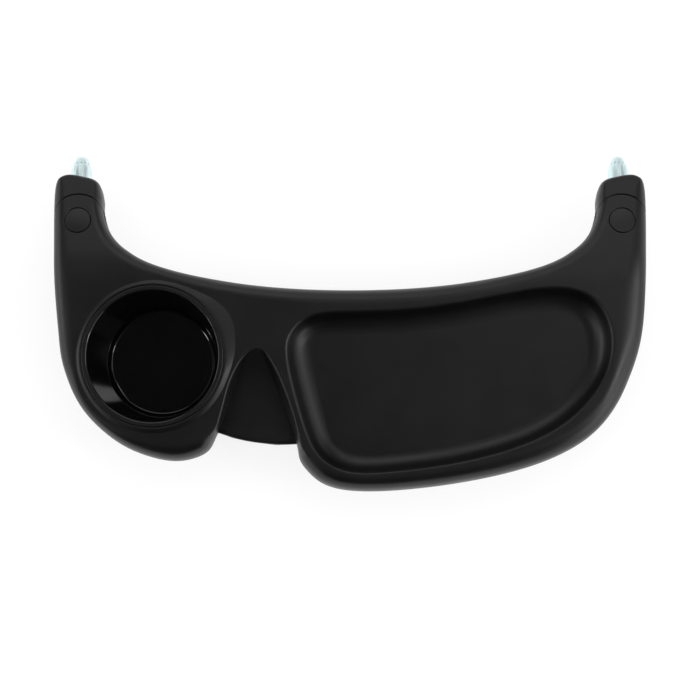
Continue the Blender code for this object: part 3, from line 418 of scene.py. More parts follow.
def inward(points):
    """Unit step into a loop that runs anticlockwise."""
    before = points - np.roll(points, 1, axis=0)
    after = np.roll(points, -1, axis=0) - points
    before /= np.linalg.norm(before, axis=1)[:, None]
    after /= np.linalg.norm(after, axis=1)[:, None]
    middle = before + after
    middle /= np.linalg.norm(middle, axis=1)[:, None]
    return np.column_stack((-middle[:, 1], middle[:, 0]))


def ring(outline, insets, heights):
    """The outline drawn in by the insets, at the heights."""
    count = len(outline)
    plan = outline[:, :2] + inward(outline[:, :2]) * np.broadcast_to(insets, count)[:, None]
    return np.column_stack((plan, np.broadcast_to(heights, count)))


def full_row(x, y, width, crease=0.0, roll=0.0, notch=0.0, depth=0.0160):
    """A row of the outline with all its columns, in the order that station() takes them."""
    return x, y, width, crease, notch, depth, roll


def arm_end():
    """Arm from its outer side round its end to its inner side: u, v, edge width."""
    rows = [(KNUCKLE_OUTER - inset, v, width) for inset, v, width in ARM_OUTER_SIDE]
    for inset, back, width in END_OUTER_CORNER:
        rows.append((KNUCKLE_OUTER - inset, END_REACH - back, width))
    for inset, back, width in END_INNER_CORNER:
        rows.append((inset - KNUCKLE_INNER, END_REACH - back, width))
    return rows + [(inset - KNUCKLE_INNER, v, width) for inset, v, width in ARM_INNER_SIDE]


def arm_rows(side):
    placed = [(side * (PIVOT_X + u), PIVOT_Y + v, width) for u, v, width in arm_end()]
    return placed if side > 0 else placed[::-1]


def left_lobe_rows():
    rows = []
    for angle, land, *rest in LEFT_LOBE:
        way = radians(angle)
        radius = RING_RADIUS + land
        rows.append((CUP_X + radius * cos(way), CUP_Y + radius * sin(way), *rest))
    return rows


def notch_rows():
    """Foot of the notch's wall, found by going out from its upper edge by the wall's width."""
    edge = np.array(NOTCH_EDGE)
    along = np.gradient(edge[:, :2], axis=0)
    along /= np.linalg.norm(along, axis=1)[:, None]
    outward = np.column_stack((along[:, 1], -along[:, 0]))
    foot = edge[:, :2] + outward * edge[:, 2:3]
    return [
        full_row(x, y, width, notch=1.0, depth=depth) for (x, y), (width, depth) in zip(foot, edge[:, 2:])
    ]


def outer_rows():
    """Rows of the outline from the right lobe round the back to the left lobe."""
    rows = [*RIGHT_LOBE, *arm_rows(1), *BACK, *arm_rows(-1), *LEFT_FLANK, *left_lobe_rows()]
    return [full_row(*row) for row in rows]


def body_outline():
    """Closed outline of the upper shell at the parting plane, notch included."""
    return thin(smooth_loop(outer_rows() + notch_rows()))


def cover_outline():
    """Closed outline of the cover: the same, with the front lip drawn across the notch."""
    body = outer_rows()
    lip = smooth_run([body[-1][:2], *LIP[1:-1], body[0][:2]])[:-1]
    edge = full_row(0, 0, LIP_WIDTH, LIP_CREASE)[2:]
    rest = np.column_stack((lip, np.tile(edge, (len(lip), 1))))
    return thin(np.vstack((smooth_run(body)[:-1], rest)))


# Meshes

def grow(mesh, edges):
    """Extrudes edges, and returns the new vertices and the new edges."""
    grown = bmesh.ops.extrude_edge_only(mesh, edges=edges)["geom"]
    verts = [item for item in grown if isinstance(item, bmesh.types.BMVert)]
    return verts, [item for item in grown if isinstance(item, bmesh.types.BMEdge)]


def wall(mesh, rings, closed=False):
    """Draws a wall through rings of equal count, and returns the edges of its first and last loop."""
    numbers = mesh.verts.layers.int.verify()
    loop = [mesh.verts.new(point) for point in rings[0]]
    for index, vert in enumerate(loop):
        vert[numbers] = index
    first = [mesh.edges.new(pair) for pair in zip(loop, loop[1:] + loop[:1])]
    if closed:
        bmesh.ops.contextual_create(mesh, geom=first)
    last = first
    for points in rings[1:]:
        verts, last = grow(mesh, last)
        for vert in verts:
            vert.co = points[vert[numbers]]
    if closed:
        bmesh.ops.contextual_create(mesh, geom=last)
    return first, last


def inside(point, loop):
    """Whether a point lies within a closed loop, by how often the loop crosses a line from it."""
    after = np.roll(loop, -1, axis=0)
    crossed = (loop[:, 1] > point[1]) != (after[:, 1] > point[1])
    first, second = loop[crossed], after[crossed]
    along = (point[1] - first[:, 1]) / (second[:, 1] - first[:, 1])
    return np.sum(first[:, 0] + along * (second[:, 0] - first[:, 0]) > point[0]) % 2 == 1


def fill_flat(mesh, outer, *holes):
    """Fills a flat face between loops. Triangle fill loses part of a face as long as this one."""
    numbers = mesh.verts.layers.int.verify()
    loops = [
        sorted({vert for edge in edges for vert in edge.verts}, key=lambda vert: vert[numbers])
        for edges in (outer, *holes)
    ]
    verts = [vert for loop in loops for vert in loop]
    sides = []
    for loop in loops:
        start = sides[-1][0] + 1 if sides else 0
        count = len(loop)
        sides += [(start + i, start + (i + 1) % count) for i in range(count)]
    places = [vert.co.xy for vert in verts]
    only_inside = 1
    nearness = 1e-7
    _, _, triangles, *_ = delaunay_2d_cdt(places, sides, [], only_inside, nearness)
    gaps = [np.array([vert.co.xy for vert in loop]) for loop in loops[1:]]
    for corners in triangles:
        middle = sum((places[i] for i in corners), Vector((0, 0))) / 3
        if not any(inside(middle, gap) for gap in gaps):
            mesh.faces.new([verts[i] for i in corners])


def lofted(rings):
    """Closed solid through rings of equal count, with flat ends."""
    mesh = bmesh.new()
    wall(mesh, rings, closed=True)
    bmesh.ops.recalc_face_normals(mesh, faces=mesh.faces)
    return mesh


def rounded(profile, segments):
    """A chain of radius, height and fillet, with an arc drawn at each corner that has a fillet."""
    rows = [(*row, 0.0)[:3] for row in profile]
    points = []
    for index, (radius, height, fillet) in enumerate(rows):
        here = Vector((radius, height))
        if not fillet or index in (0, len(rows) - 1):
            points.append((radius, height))
            continue
        back = (Vector(rows[index - 1][:2]) - here).normalized()
        on = (Vector(rows[index + 1][:2]) - here).normalized()
        half = back.angle(on) / 2
        reach = fillet / tan(half)
        centre = here + (back + on).normalized() * fillet / sin(half)
        first = here + back * reach - centre
        last = here + on * reach - centre
        sweep = first.angle_signed(last)
        for step in range(segments + 1):
            arm = first.copy()
            arm.rotate(Matrix.Rotation(-sweep * step / segments, 2))
            points.append(tuple(centre + arm))
    return points


def turned(profile, sides=64):
    """Solid of revolution about Z, from a chain of radius and height that runs from axis to axis."""
    chain = list(profile)
    level = 1e-9
    if abs(chain[0][1] - chain[1][1]) < level:
        del chain[0]
    if abs(chain[-1][1] - chain[-2][1]) < level:
        del chain[-1]
    mesh = bmesh.new()
    verts = [mesh.verts.new((radius, 0, height)) for radius, height in chain]
    edges = [mesh.edges.new(pair) for pair in zip(verts[:-1], verts[1:])]
    bmesh.ops.spin(
        mesh, geom=verts + edges, cent=(0, 0, 0), axis=(0, 0, 1), dvec=(0, 0, 0),
        angle=2 * pi, steps=sides, use_merge=True,
    )
    bmesh.ops.remove_doubles(mesh, verts=mesh.verts, dist=WELD)
    rims = [edge for edge in mesh.edges if len(edge.link_faces) == 1]
    if rims:
        bmesh.ops.edgeloop_fill(mesh, edges=rims)
    bmesh.ops.recalc_face_normals(mesh, faces=mesh.faces)
    return mesh


def cylinder(radius, low, high, sides, place=(0, 0)):
    mesh = bmesh.new()
    bmesh.ops.create_cone(
        mesh, cap_ends=True, segments=sides, radius1=radius, radius2=radius, depth=high - low,
        matrix=Matrix.Translation((place[0], place[1], (low + high) / 2)),
    )
    return mesh


def block(low, high):
    low, high = Vector(low), Vector(high)
    mesh = bmesh.new()
    size = Matrix.Diagonal((*(high - low), 1))
    bmesh.ops.create_cube(mesh, size=1, matrix=Matrix.Translation((low + high) / 2) @ size)
    return mesh


def moved(mesh, matrix):
    bmesh.ops.transform(mesh, verts=mesh.verts, matrix=matrix)
    return mesh


def together(meshes):
    """One mesh holding several meshes that don't touch each other."""
    joined = bmesh.new()
    for mesh in meshes:
        data = bpy.data.meshes.new("together")
        mesh.to_mesh(data)
        mesh.free()
        joined.from_mesh(data)
        bpy.data.meshes.remove(data)
    return joined


def in_scene(name, data):
    item = bpy.data.objects.new(name, data)
    bpy.context.scene.collection.objects.link(item)
    return item


def thing(name, mesh):
    data = bpy.data.meshes.new(name)
    mesh.to_mesh(data)
    mesh.free()
    return in_scene(name, data)


def combined(mesh, operation, tools, solver="EXACT"):
    """The mesh after the same boolean operation with each tool in turn."""
    item = thing("combined", mesh)
    others = []
    for tool_mesh in tools:
        tool = thing("combined_tool", tool_mesh)
        step = item.modifiers.new(operation.title(), "BOOLEAN")
        step.operation = operation
        step.solver = solver
        step.object = tool
        others.append(tool)
    depsgraph = bpy.context.evaluated_depsgraph_get()
    result = bmesh.new()
    result.from_object(item, depsgraph)
    for other in [item, *others]:
        data = other.data
        bpy.data.objects.remove(other, do_unlink=True)
        bpy.data.meshes.remove(data)
    return result


def bent(point):
    """Where a point of the flat drawing goes once the arms are bent down."""
    x, y, z = point
    run = y - BEND_START
    lift = BEND_RADIUS + z - PART_Z
    if run <= 0:
        return Vector((x, y, z))
    angle = min(run, BEND_LENGTH) / BEND_RADIUS
    straight = max(run - BEND_LENGTH, 0)
    return Vector((
        x,
        BEND_START + lift * sin(angle) + straight * cos(angle),
        PART_Z - BEND_RADIUS + lift * cos(angle) - straight * sin(angle),
    ))


def bend_arms(mesh):
    bmesh.ops.triangulate(mesh, faces=[face for face in mesh.faces if len(face.verts) > 4])
    for step in range(BEND_CUTS + 1):
        y = BEND_START + BEND_LENGTH * step / BEND_CUTS
        everything = mesh.verts[:] + mesh.edges[:] + mesh.faces[:]
        bmesh.ops.bisect_plane(
            mesh, geom=everything, plane_co=(0, y, 0), plane_no=(0, 1, 0), dist=1e-6,
        )
    for vert in mesh.verts:
        vert.co = bent(vert.co)
    return mesh


def finished(name, mesh, material, body, stands_for):
    """Makes a piece of a mesh, with everything that the frame has to know of it."""
    item = thing(name, mesh)
    item.data.shade_smooth()
    item.data.set_sharp_from_angle(angle=SHARP_ANGLE)
    item.data.materials.append(material)
    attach(item, body)
    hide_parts(*stands_for)
    return item


# Heights along the swivel's axis, from the parting plane
LAND_V = LAND_Z - PART_Z
FLOOR_V = COVER_Z - PART_Z
SLOT_FLOOR = -GAP / 2
SLOT_ROOF = LAND_V - EAR_THICKNESS
SEAM_RADIUS = KNUCKLE_RADIUS + GAP
BORE_RADIUS = SCREW_RADIUS + GAP
SLEEVE_RADIUS = BORE_RADIUS + SLEEVE_WALL
CAP_FLOOR = LAND_V - CAP_THICKNESS
FRICTION_TOP = SLOT_FLOOR + GAP + FRICTION_WASHER_THICKNESS
TONGUE_LOW = FRICTION_TOP + GAP
TONGUE_HIGH = SLOT_ROOF - GAP - WAVE_WASHER_THICKNESS - 2 * WAVE_HEIGHT - GAP
NUT_LOW = FLOOR_V + NUT_RECESS
NUT_HIGH = NUT_LOW + NUT_THICKNESS
SPOT_FACE_V = END_REACH - PRONG_SEAT
PRONG_FOOT_V = SPOT_FACE_V - PRONG_SINK
SHANK_END_V = PRONG_FOOT_V - SHANK_LENGTH
CROSS_PIN_V = (PRONG_FOOT_V + SHANK_END_V) / 2
REACH = END_REACH + OVERRUN


def pivot(side):
    """Place of a swivel's own axes in the frame: Z is the axis, Y the prong's way."""
    return Matrix.Translation(bent((side * PIVOT_X, PIVOT_Y, PART_Z))) @ Matrix.Rotation(-DROOP, 4, "X")


def flat_pivot(side):
    """The same in the flat drawing."""
    return Matrix.Translation((side * PIVOT_X, PIVOT_Y, PART_Z))


def at_pivots(make):
    """What make() builds, at both swivels of the flat drawing."""
    return [moved(make(), flat_pivot(side)) for side in (-1, 1)]


def prong_axis(side):
    """Place of a prong in its swivel's axes: Z runs out along the prong."""
    return Matrix.Translation((side * PRONG_OFFSET, 0, PRONG_HEIGHT)) @ Matrix.Rotation(-pi / 2, 4, "X")


# The upper shell

def station(outline, index):
    """Insets and heights of one ring of the upper shell, round its outline."""
    width, crease, notch, depth, roll = outline[:, 2:7].T
    crease = np.clip(crease, 0, 1)
    notch = np.clip(notch, 0, 1)
    roll = np.maximum(roll, 0)
    round_depth, round_share = ROUND_EDGE[index]
    depth_share, crease_share, roll_share = CREASED_EDGE[index]
    crease_depth = roll * CREASE_SLOPE
    if index <= CREASE_ROW:
        crease_depth = crease_depth + (ROUND_EDGE[0][0] - crease_depth) * depth_share
    else:
        crease_depth = crease_depth * depth_share
    wall_share, wall_width, rim_share = NOTCH_WALL[index]
    inset = width * (round_share + (crease_share - round_share) * crease) + roll * crease * roll_share
    drop = round_depth + (crease_depth - round_depth) * crease
    rim = np.minimum(NOTCH_RIM, depth * NOTCH_RIM_SHARE)
    if wall_share is None:
        full = ROUND_EDGE[0][0]
        wall_drop = full + (depth - full) * index / NOTCH_WALL_FOOT
    else:
        wall_drop = depth * wall_share
    inset += (width * wall_width + rim * rim_share - inset) * notch
    drop += (wall_drop - drop) * notch
    return inset, LAND_Z - drop


def upper_rings(outline, parted):
    """Rings up to the flat top, from a chamfered parting edge or from the bare outline."""
    stations = [station(outline, index) for index in range(len(ROUND_EDGE))]
    rings = [ring(outline, *insets_and_heights) for insets_and_heights in stations]
    if parted:
        low = PART_Z + GAP / 2
        bottom = stations[0][0]
        rings[:1] = ring(outline, bottom + CHAMFER, low), ring(outline, bottom, low + CHAMFER)
    rings.append(ring(outline, stations[-1][0] + LAND_BORDER, LAND_Z))
    return rings


def collar_rings():
    """From the flat border round the collar up its slope and down the cup's bore."""
    rows = [(radius * cos(radians(angle)), radius * sin(radians(angle))) for angle, radius in COLLAR_FOOT]
    foot = smooth_loop(rows, steps=40)
    angles = np.linspace(0, 2 * pi, COLLAR_SIDES, endpoint=False)
    own = np.unwrap(np.arctan2(foot[:, 1], foot[:, 0]))
    own += atan2(rows[0][1], rows[0][0]) - own[0]
    radii = np.interp(angles, own, np.hypot(*foot.T), period=2 * pi)
    seat = RING_RADIUS + GAP
    top = seat + COLLAR_TOP_WIDTH
    rim = LAND_Z + COLLAR_RISE
    ledge = CUP_HEIGHT - RING_THICKNESS - GAP

    def loop(radius, height):
        radius = np.broadcast_to(radius, COLLAR_SIDES)
        return np.column_stack((
            CUP_X + radius * np.cos(angles), CUP_Y + radius * np.sin(angles),
            np.full(COLLAR_SIDES, height),
        ))

    rings = [loop(radii + LAND_BORDER, LAND_Z)]
    rings += [loop(radii + (top - radii) * share, LAND_Z + rise) for share, rise in COLLAR_SLOPE]
    rings.append(loop(top - COLLAR_TOP_ROUND, rim))
    rings += [loop(seat + out, rim - drop) for out, drop in COLLAR_INNER_EDGE]
    rings += [
        loop(seat, ledge), loop(CUP_HOLE_RADIUS + LEDGE_CHAMFER, ledge),
        loop(CUP_HOLE_RADIUS, ledge - LEDGE_CHAMFER), loop(CUP_HOLE_RADIUS, PART_Z + GAP / 2),
    ]
    return rings


def well_rings():
    """The well's wall. Its edge is listed clockwise, so it's turned round for ring()."""
    edge = thin(smooth_loop(WELL_EDGE))[::-1]
    width = edge[:, 2]
    rings = [ring(edge, width * WELL_WALL[0][1] - LAND_BORDER, LAND_Z)]
    rings += [ring(edge, width * share, LAND_Z - WELL_DEPTH * depth) for depth, share in WELL_WALL]
    rings.append(ring(edge, width + WELL_FLOOR_BORDER, LAND_Z - WELL_DEPTH))
    return rings


def notch_floor():
    """The floor between the lobes, from under its apex to the rounded lip, as a solid slab."""
    lip = smooth_run(LIP)
    lip_share = np.concatenate(([0], np.cumsum(np.hypot(*np.diff(lip, axis=0).T))))
    lip_share /= lip_share[-1]
    profile = smooth_run(NOTCH_FLOOR)[::-1]
    flat = NOTCH_FLOOR_ROWS
    rows = flat + len(LIP_ROUND)
    half = 0.5
    mesh = bmesh.new()
    bmesh.ops.create_grid(mesh, x_segments=NOTCH_FLOOR_COLUMNS, y_segments=rows, size=half)
    for vert in mesh.verts:
        share = vert.co.x + half
        row = round((vert.co.y + half) * rows)
        start = Vector(NOTCH_BACK[0]).lerp(Vector(NOTCH_BACK[1]), share)
        end = Vector([np.interp(share, lip_share, lip[:, axis]) for axis in (0, 1)])
        way = end - start
        if row < flat:
            back = LIP_ROUND[0][0] + (way.length - LIP_ROUND[0][0]) * (1 - row / flat)
            drop = 0.0
        else:
            back, drop = LIP_ROUND[min(row - flat, len(LIP_ROUND) - 1)]
        place = end - way.normalized() * back
        depth = np.interp(place.y, profile[:, 0], profile[:, 1])
        vert.co = (place.x, place.y, LAND_Z - depth - drop)
    verts, edges = grow(mesh, [edge for edge in mesh.edges if edge.is_boundary])
    for vert in verts:
        vert.co.z = PART_Z + GAP / 2
    bmesh.ops.contextual_create(mesh, geom=edges)
    bmesh.ops.remove_doubles(mesh, verts=mesh.verts, dist=WELD)
    bmesh.ops.recalc_face_normals(mesh, faces=mesh.faces)
    return mesh


def swivel_bore():
    """Slot, bore, head recess and cap recess of the upper ear, as one turned tool."""
    seat = SLOT_ROOF + HEAD_SEAT
    cap = CAP_RADIUS + GAP
    return turned((
        (0, SLOT_FLOOR - OVERRUN), (SEAM_RADIUS, SLOT_FLOOR - OVERRUN), (SEAM_RADIUS, SLOT_ROOF),
        (BORE_RADIUS, SLOT_ROOF), (BORE_RADIUS, seat), (HEAD_RADIUS + GAP, seat),
        (HEAD_RADIUS + GAP, CAP_FLOOR - GAP), (cap, CAP_FLOOR - GAP),
        (cap, LAND_V - SEAM_CHAMFER), (cap + 2 * SEAM_CHAMFER, LAND_V + SEAM_CHAMFER),
        (0, LAND_V + OVERRUN),
    ), 96)


def beyond_seam(margin, start, chamfer=0.0):
    """Everything past the seam, as a tool: a block with the knuckle's round cut out of it."""
    mesh = block((-REACH, start, -REACH), (REACH, 2 * REACH, REACH))
    top = margin - 2 * chamfer
    knuckle = turned((
        (0, -2 * REACH), (margin, -2 * REACH), (margin, LAND_V - abs(chamfer)),
        (top, LAND_V + abs(chamfer)), (top, 2 * REACH), (0, 2 * REACH),
    ), 128)
    return combined(mesh, "DIFFERENCE", [knuckle])


def make_tray_top(material):
    mesh = bmesh.new()
    seam, land = wall(mesh, upper_rings(body_outline(), True))
    well, well_floor = wall(mesh, well_rings())
    bmesh.ops.contextual_create(mesh, geom=well_floor)
    collar, bore = wall(mesh, collar_rings())
    fill_flat(mesh, land, well, collar)
    fill_flat(mesh, seam, bore)
    bmesh.ops.recalc_face_normals(mesh, faces=mesh.faces)
    mesh = combined(mesh, "UNION", [notch_floor()])
    ends = at_pivots(lambda: beyond_seam(KNUCKLE_RADIUS, 0, SEAM_CHAMFER))
    mesh = combined(mesh, "DIFFERENCE", [*ends, *at_pivots(swivel_bore)], solver="MANIFOLD")
    bend_arms(mesh)
    return finished("tray_top_shell", mesh, material, "tray", ["tray_top"])


# The cover

def cover_insets(outline, share):
    width = outline[:, 2] * (1 + CREASE_TUCK * np.clip(outline[:, 3], 0, 1))
    return share * np.minimum(width, COVER_EDGE_MAX)


def cover_rings(outline, parted):
    rings = [ring(outline, cover_insets(outline, 1) + LAND_BORDER, COVER_Z)]
    for height, share in COVER_PROFILE:
        rings.append(ring(outline, cover_insets(outline, share), COVER_Z + height))
    if parted:
        rings.append(ring(outline, 0, PART_Z - GAP / 2 - CHAMFER))
        rings.append(ring(outline, CHAMFER, PART_Z - GAP / 2))
    return rings


def screw_seat(place):
    """Countersunk hole for one of the cover's screws, with a chamfered mouth."""
    head = TAPPER_HEAD_RADIUS + GAP
    hole = TAPPER_RADIUS + GAP
    seat = COVER_Z + TAPPER_RECESS + TAPPER_HEAD_THICKNESS + GAP
    tool = turned((
        (0, 0), (head + CHAMFER, 0), (head + CHAMFER, COVER_Z), (head, COVER_Z + CHAMFER),
        (head, seat), (hole, seat), (hole, LAND_Z), (0, LAND_Z),
    ), 32)
    return moved(tool, Matrix.Translation((*place, 0)))


def make_base_cover(material):
    mesh = lofted(cover_rings(cover_outline(), True))
    cuts = [cylinder(CUP_HOLE_RADIUS, 0, 2 * LAND_Z, COLLAR_SIDES, (CUP_X, CUP_Y))]
    cuts += [screw_seat(place) for place in SCREW_PLACES]
    cuts += at_pivots(lambda: cylinder(BORE_RADIUS, FLOOR_V - OVERRUN, OVERRUN, 32))
    across = (NUT_ACROSS_FLATS + 2 * GAP) / 2 / cos(pi / 6)
    nuts = at_pivots(lambda: cylinder(across, FLOOR_V - OVERRUN, NUT_HIGH + GAP, 6))
    ends = at_pivots(lambda: beyond_seam(KNUCKLE_RADIUS, 0))
    mesh = combined(mesh, "DIFFERENCE", [together(cuts), together(nuts), *ends])
    bend_arms(mesh)
    return finished("base_cover_shell", mesh, material, "tray", ["base_cover"])


# The cup

def make_cup(material, ring_material):
    taper = (CUP_MOUTH_RADIUS - CUP_FOOT_RADIUS) / (CUP_HEIGHT - CUP_FLOOR)

    def inner(height):
        return CUP_MOUTH_RADIUS - taper * (CUP_HEIGHT - height)

    ring_low = CUP_HEIGHT - RING_THICKNESS
    profile = rounded((
        (0, FOOT_HOLLOW), (FOOT_HOLLOW_RADII[0], FOOT_HOLLOW), (FOOT_HOLLOW_RADII[1], 0.0),
        (inner(0) + CUP_WALL, 0, FOOT_FILLET), (inner(ring_low) + CUP_WALL, ring_low, UNDER_RING_FILLET),
        (RING_RADIUS, ring_low, RING_LOWER_FILLET), (RING_RADIUS, CUP_HEIGHT, RING_UPPER_FILLET),
        (CUP_MOUTH_RADIUS, CUP_HEIGHT, MOUTH_FILLET), (inner(CUP_FLOOR), CUP_FLOOR, CUP_FLOOR_FILLET),
        (0, CUP_FLOOR),
    ), 8)
    mesh = turned(profile, 160)
    for face in mesh.faces:
        middle = face.calc_center_median()
        if middle.z > ring_low and middle.xy.length > CUP_MOUTH_RADIUS + MOUTH_BAND:
            face.material_index = 1
    moved(mesh, Matrix.Translation((CUP_X, CUP_Y, 0)))
    item = finished("cup_liner_shell", mesh, material, "cup", ["cup_liner"])
    item.data.materials.append(ring_material)
    return item


# The swivelling ends

def end_outline(side):
    """The part of the outline round one arm's end, closed across the arm behind the seam."""
    outline = body_outline()
    inner_side = PIVOT_X - 0.030
    back = PIVOT_Y - 0.012
    return outline[(outline[:, 0] * side > inner_side) & (outline[:, 1] > back)]


def connector_blank(side):
    outline = end_outline(side)
    rings = cover_rings(outline, False) + upper_rings(outline, False)
    return moved(lofted(rings), flat_pivot(side).inverted())


def prong_bore():
    """Bore for the prong with its spot face, from the bore's end outwards along Z."""
    shank = SHANK_RADIUS + GAP
    body = PRONG_RADIUS + GAP
    face = body + SPOT_FACE_WIDTH
    mouth = face + 2 * CHAMFER
    return turned((
        (0, SHANK_END_V - GAP), (shank, SHANK_END_V - GAP), (shank, PRONG_FOOT_V - GAP),
        (body, PRONG_FOOT_V - GAP), (body, SPOT_FACE_V), (face, SPOT_FACE_V),
        (face, END_REACH - CHAMFER), (mouth, END_REACH + CHAMFER), (mouth, END_REACH + OVERRUN),
        (0, END_REACH + OVERRUN),
    ))


def make_connector(name, side, material):
    seam = beyond_seam(SEAM_RADIUS, SEAM_START, -SEAM_CHAMFER)
    mesh = combined(connector_blank(side), "INTERSECT", [seam])
    left, right = sorted((side * NECK_OUTER, -side * NECK_INNER))
    neck = block(
        (left, KNUCKLE_RADIUS * NECK_START, TONGUE_LOW), (right, SEAM_RADIUS + NECK_ROOT, TONGUE_HIGH),
    )
    tongue = turned(rounded((
        (0, TONGUE_LOW), (TONGUE_RADIUS, TONGUE_LOW, TONGUE_FILLET),
        (TONGUE_RADIUS, TONGUE_HIGH, TONGUE_FILLET), (0, TONGUE_HIGH),
    ), 3), 96)
    mesh = combined(mesh, "UNION", [neck, tongue])
    pin_top = FLOOR_V + CROSS_PIN_RECESS + CROSS_PIN_LENGTH + GAP
    pin_place = (side * PRONG_OFFSET, CROSS_PIN_V)
    pin_bore = cylinder(CROSS_PIN_RADIUS + GAP, FLOOR_V - OVERRUN, pin_top, 24, pin_place)
    sleeve_bore = cylinder(SLEEVE_RADIUS + GAP, TONGUE_LOW - OVERRUN, TONGUE_HIGH + OVERRUN, 48)
    mesh = combined(mesh, "DIFFERENCE", [moved(prong_bore(), prong_axis(side)), pin_bore, sleeve_bore])
    moved(mesh, pivot(side))
    return finished(
        name + "_connector_shell", mesh, material, name + "_end", [name + "_connector"],
    )


def make_prong(name, side, material):
    tip = END_REACH + PRONG_REACH
    profile = [(radius, tip - back) for back, radius in PRONG_TIP]
    profile += [
        (PRONG_RADIUS, PRONG_FOOT_V + CHAMFER), (PRONG_RADIUS - CHAMFER, PRONG_FOOT_V),
        (SHANK_RADIUS, PRONG_FOOT_V), (SHANK_RADIUS, SHANK_END_V + SHANK_CHAMFER),
        (SHANK_RADIUS - SHANK_CHAMFER, SHANK_END_V), (0, SHANK_END_V),
    ]
    mesh = turned(profile[::-1], 128)
    for vert in mesh.verts:
        back = tip - vert.co.z
        radius = hypot(vert.co.x, vert.co.y)
        wave = max(cos(FLUTES * atan2(vert.co.y, vert.co.x)), 0) ** 2
        groove = wave * FLUTE_DEPTH * np.interp(back, FLUTE_RUN, (0, 1, 1, 0))
        if abs(back - DIMPLE_BACK) < DIMPLE_REACH:
            groove = wave * DIMPLE_DEPTH
        if radius > SHANK_RADIUS:
            vert.co.x *= 1 - groove / radius
            vert.co.y *= 1 - groove / radius
    drill = moved(
        cylinder(CROSS_PIN_RADIUS + GAP, -OVERRUN, OVERRUN, 24),
        Matrix.Translation((0, 0, CROSS_PIN_V)) @ Matrix.Rotation(pi / 2, 4, "X"),
    )
    mesh = combined(mesh, "DIFFERENCE", [drill])
    moved(mesh, pivot(side) @ prong_axis(side))
    return finished(
        name + "_prong_turned", mesh, material, name + "_end", [name + "_prong"],
    )


def make_pivot_cap(name, side, material):
    mesh = turned(rounded((
        (0, CAP_FLOOR), (CAP_RADIUS, CAP_FLOOR, CAP_LOWER_FILLET),
        (CAP_RADIUS, LAND_V, CAP_UPPER_FILLET), (0, LAND_V),
    ), 4), 96)
    moved(mesh, pivot(side))
    return finished(name + "_cap_disc", mesh, material, "tray", [name + "_pivot_cap"])


def make_pivot_nut(name, side, material):
    across = NUT_ACROSS_FLATS / 2 / cos(pi / 6)
    mesh = cylinder(across, NUT_LOW, NUT_HIGH, 6)
    round_off = turned((
        (0, NUT_LOW), (across - NUT_CORNER, NUT_LOW), (across, NUT_LOW + NUT_CORNER_RISE),
        (across, NUT_HIGH - NUT_CORNER_RISE), (across - NUT_CORNER, NUT_HIGH), (0, NUT_HIGH),
    ), 48)
    mesh = combined(mesh, "INTERSECT", [round_off])
    mouth = BORE_RADIUS + NUT_BORE_CHAMFER[0]
    bore = turned((
        (0, NUT_LOW - OVERRUN), (mouth, NUT_LOW - OVERRUN), (mouth, NUT_LOW),
        (BORE_RADIUS, NUT_LOW + NUT_BORE_CHAMFER[1]), (BORE_RADIUS, NUT_HIGH + OVERRUN),
        (0, NUT_HIGH + OVERRUN),
    ), 32)
    mesh = combined(mesh, "DIFFERENCE", [bore])
    moved(mesh, pivot(side))
    return finished(name + "_nut_hex", mesh, material, "tray", [name + "_pivot_nut"])


def make_cover_screw(number, place, material):
    low = COVER_Z + TAPPER_RECESS
    neck = low + TAPPER_HEAD_THICKNESS
    tip = neck + TAPPER_LENGTH
    core = TAPPER_RADIUS * TAPPER_CORE
    profile = [(0, low)]
    profile += [(TAPPER_HEAD_RADIUS * share, low + rise) for share, rise in TAPPER_HEAD_EDGE]
    profile += [(TAPPER_HEAD_RADIUS, neck), (core, neck)]
    height = neck + THREAD_START
    while height < tip - THREAD_STOP:
        crest = height + THREAD_PITCH * THREAD_CREST
        profile += [(core, height), (TAPPER_RADIUS, crest), (core, height + THREAD_PITCH * THREAD_ROOT)]
        height += THREAD_PITCH
    profile += [(core, tip - TAPPER_POINT), (0, tip)]
    mesh = turned(profile, 32)
    sizes = ((CROSS_REACH, CROSS_WIDTH / 2), (CROSS_WIDTH / 2, CROSS_REACH))
    cross = [block((-x, -y, low - OVERRUN), (x, y, low + CROSS_DEPTH)) for x, y in sizes]
    mesh = combined(mesh, "DIFFERENCE", cross)
    moved(mesh, Matrix.Translation((*place, 0)) @ Matrix.Rotation(number * CROSS_TURN, 4, "Z"))
    return finished(
        f"cover_screw_{number}_cross", mesh, material, "tray", [f"cover_screw_{number}"],
    )


# Finishes

def new_material(name):
    material = bpy.data.materials.new(name)
    material.use_nodes = True
    return material, material.node_tree, material.node_tree.nodes["Principled BSDF"]


def set_inputs(tree, node, inputs):
    """Sets each named input of a node to a value, or links it to another node's output."""
    for key, value in inputs.items():
        if isinstance(value, bpy.types.NodeSocket):
            tree.links.new(value, node.inputs[key])
        else:
            node.inputs[key].default_value = value
    return node.outputs


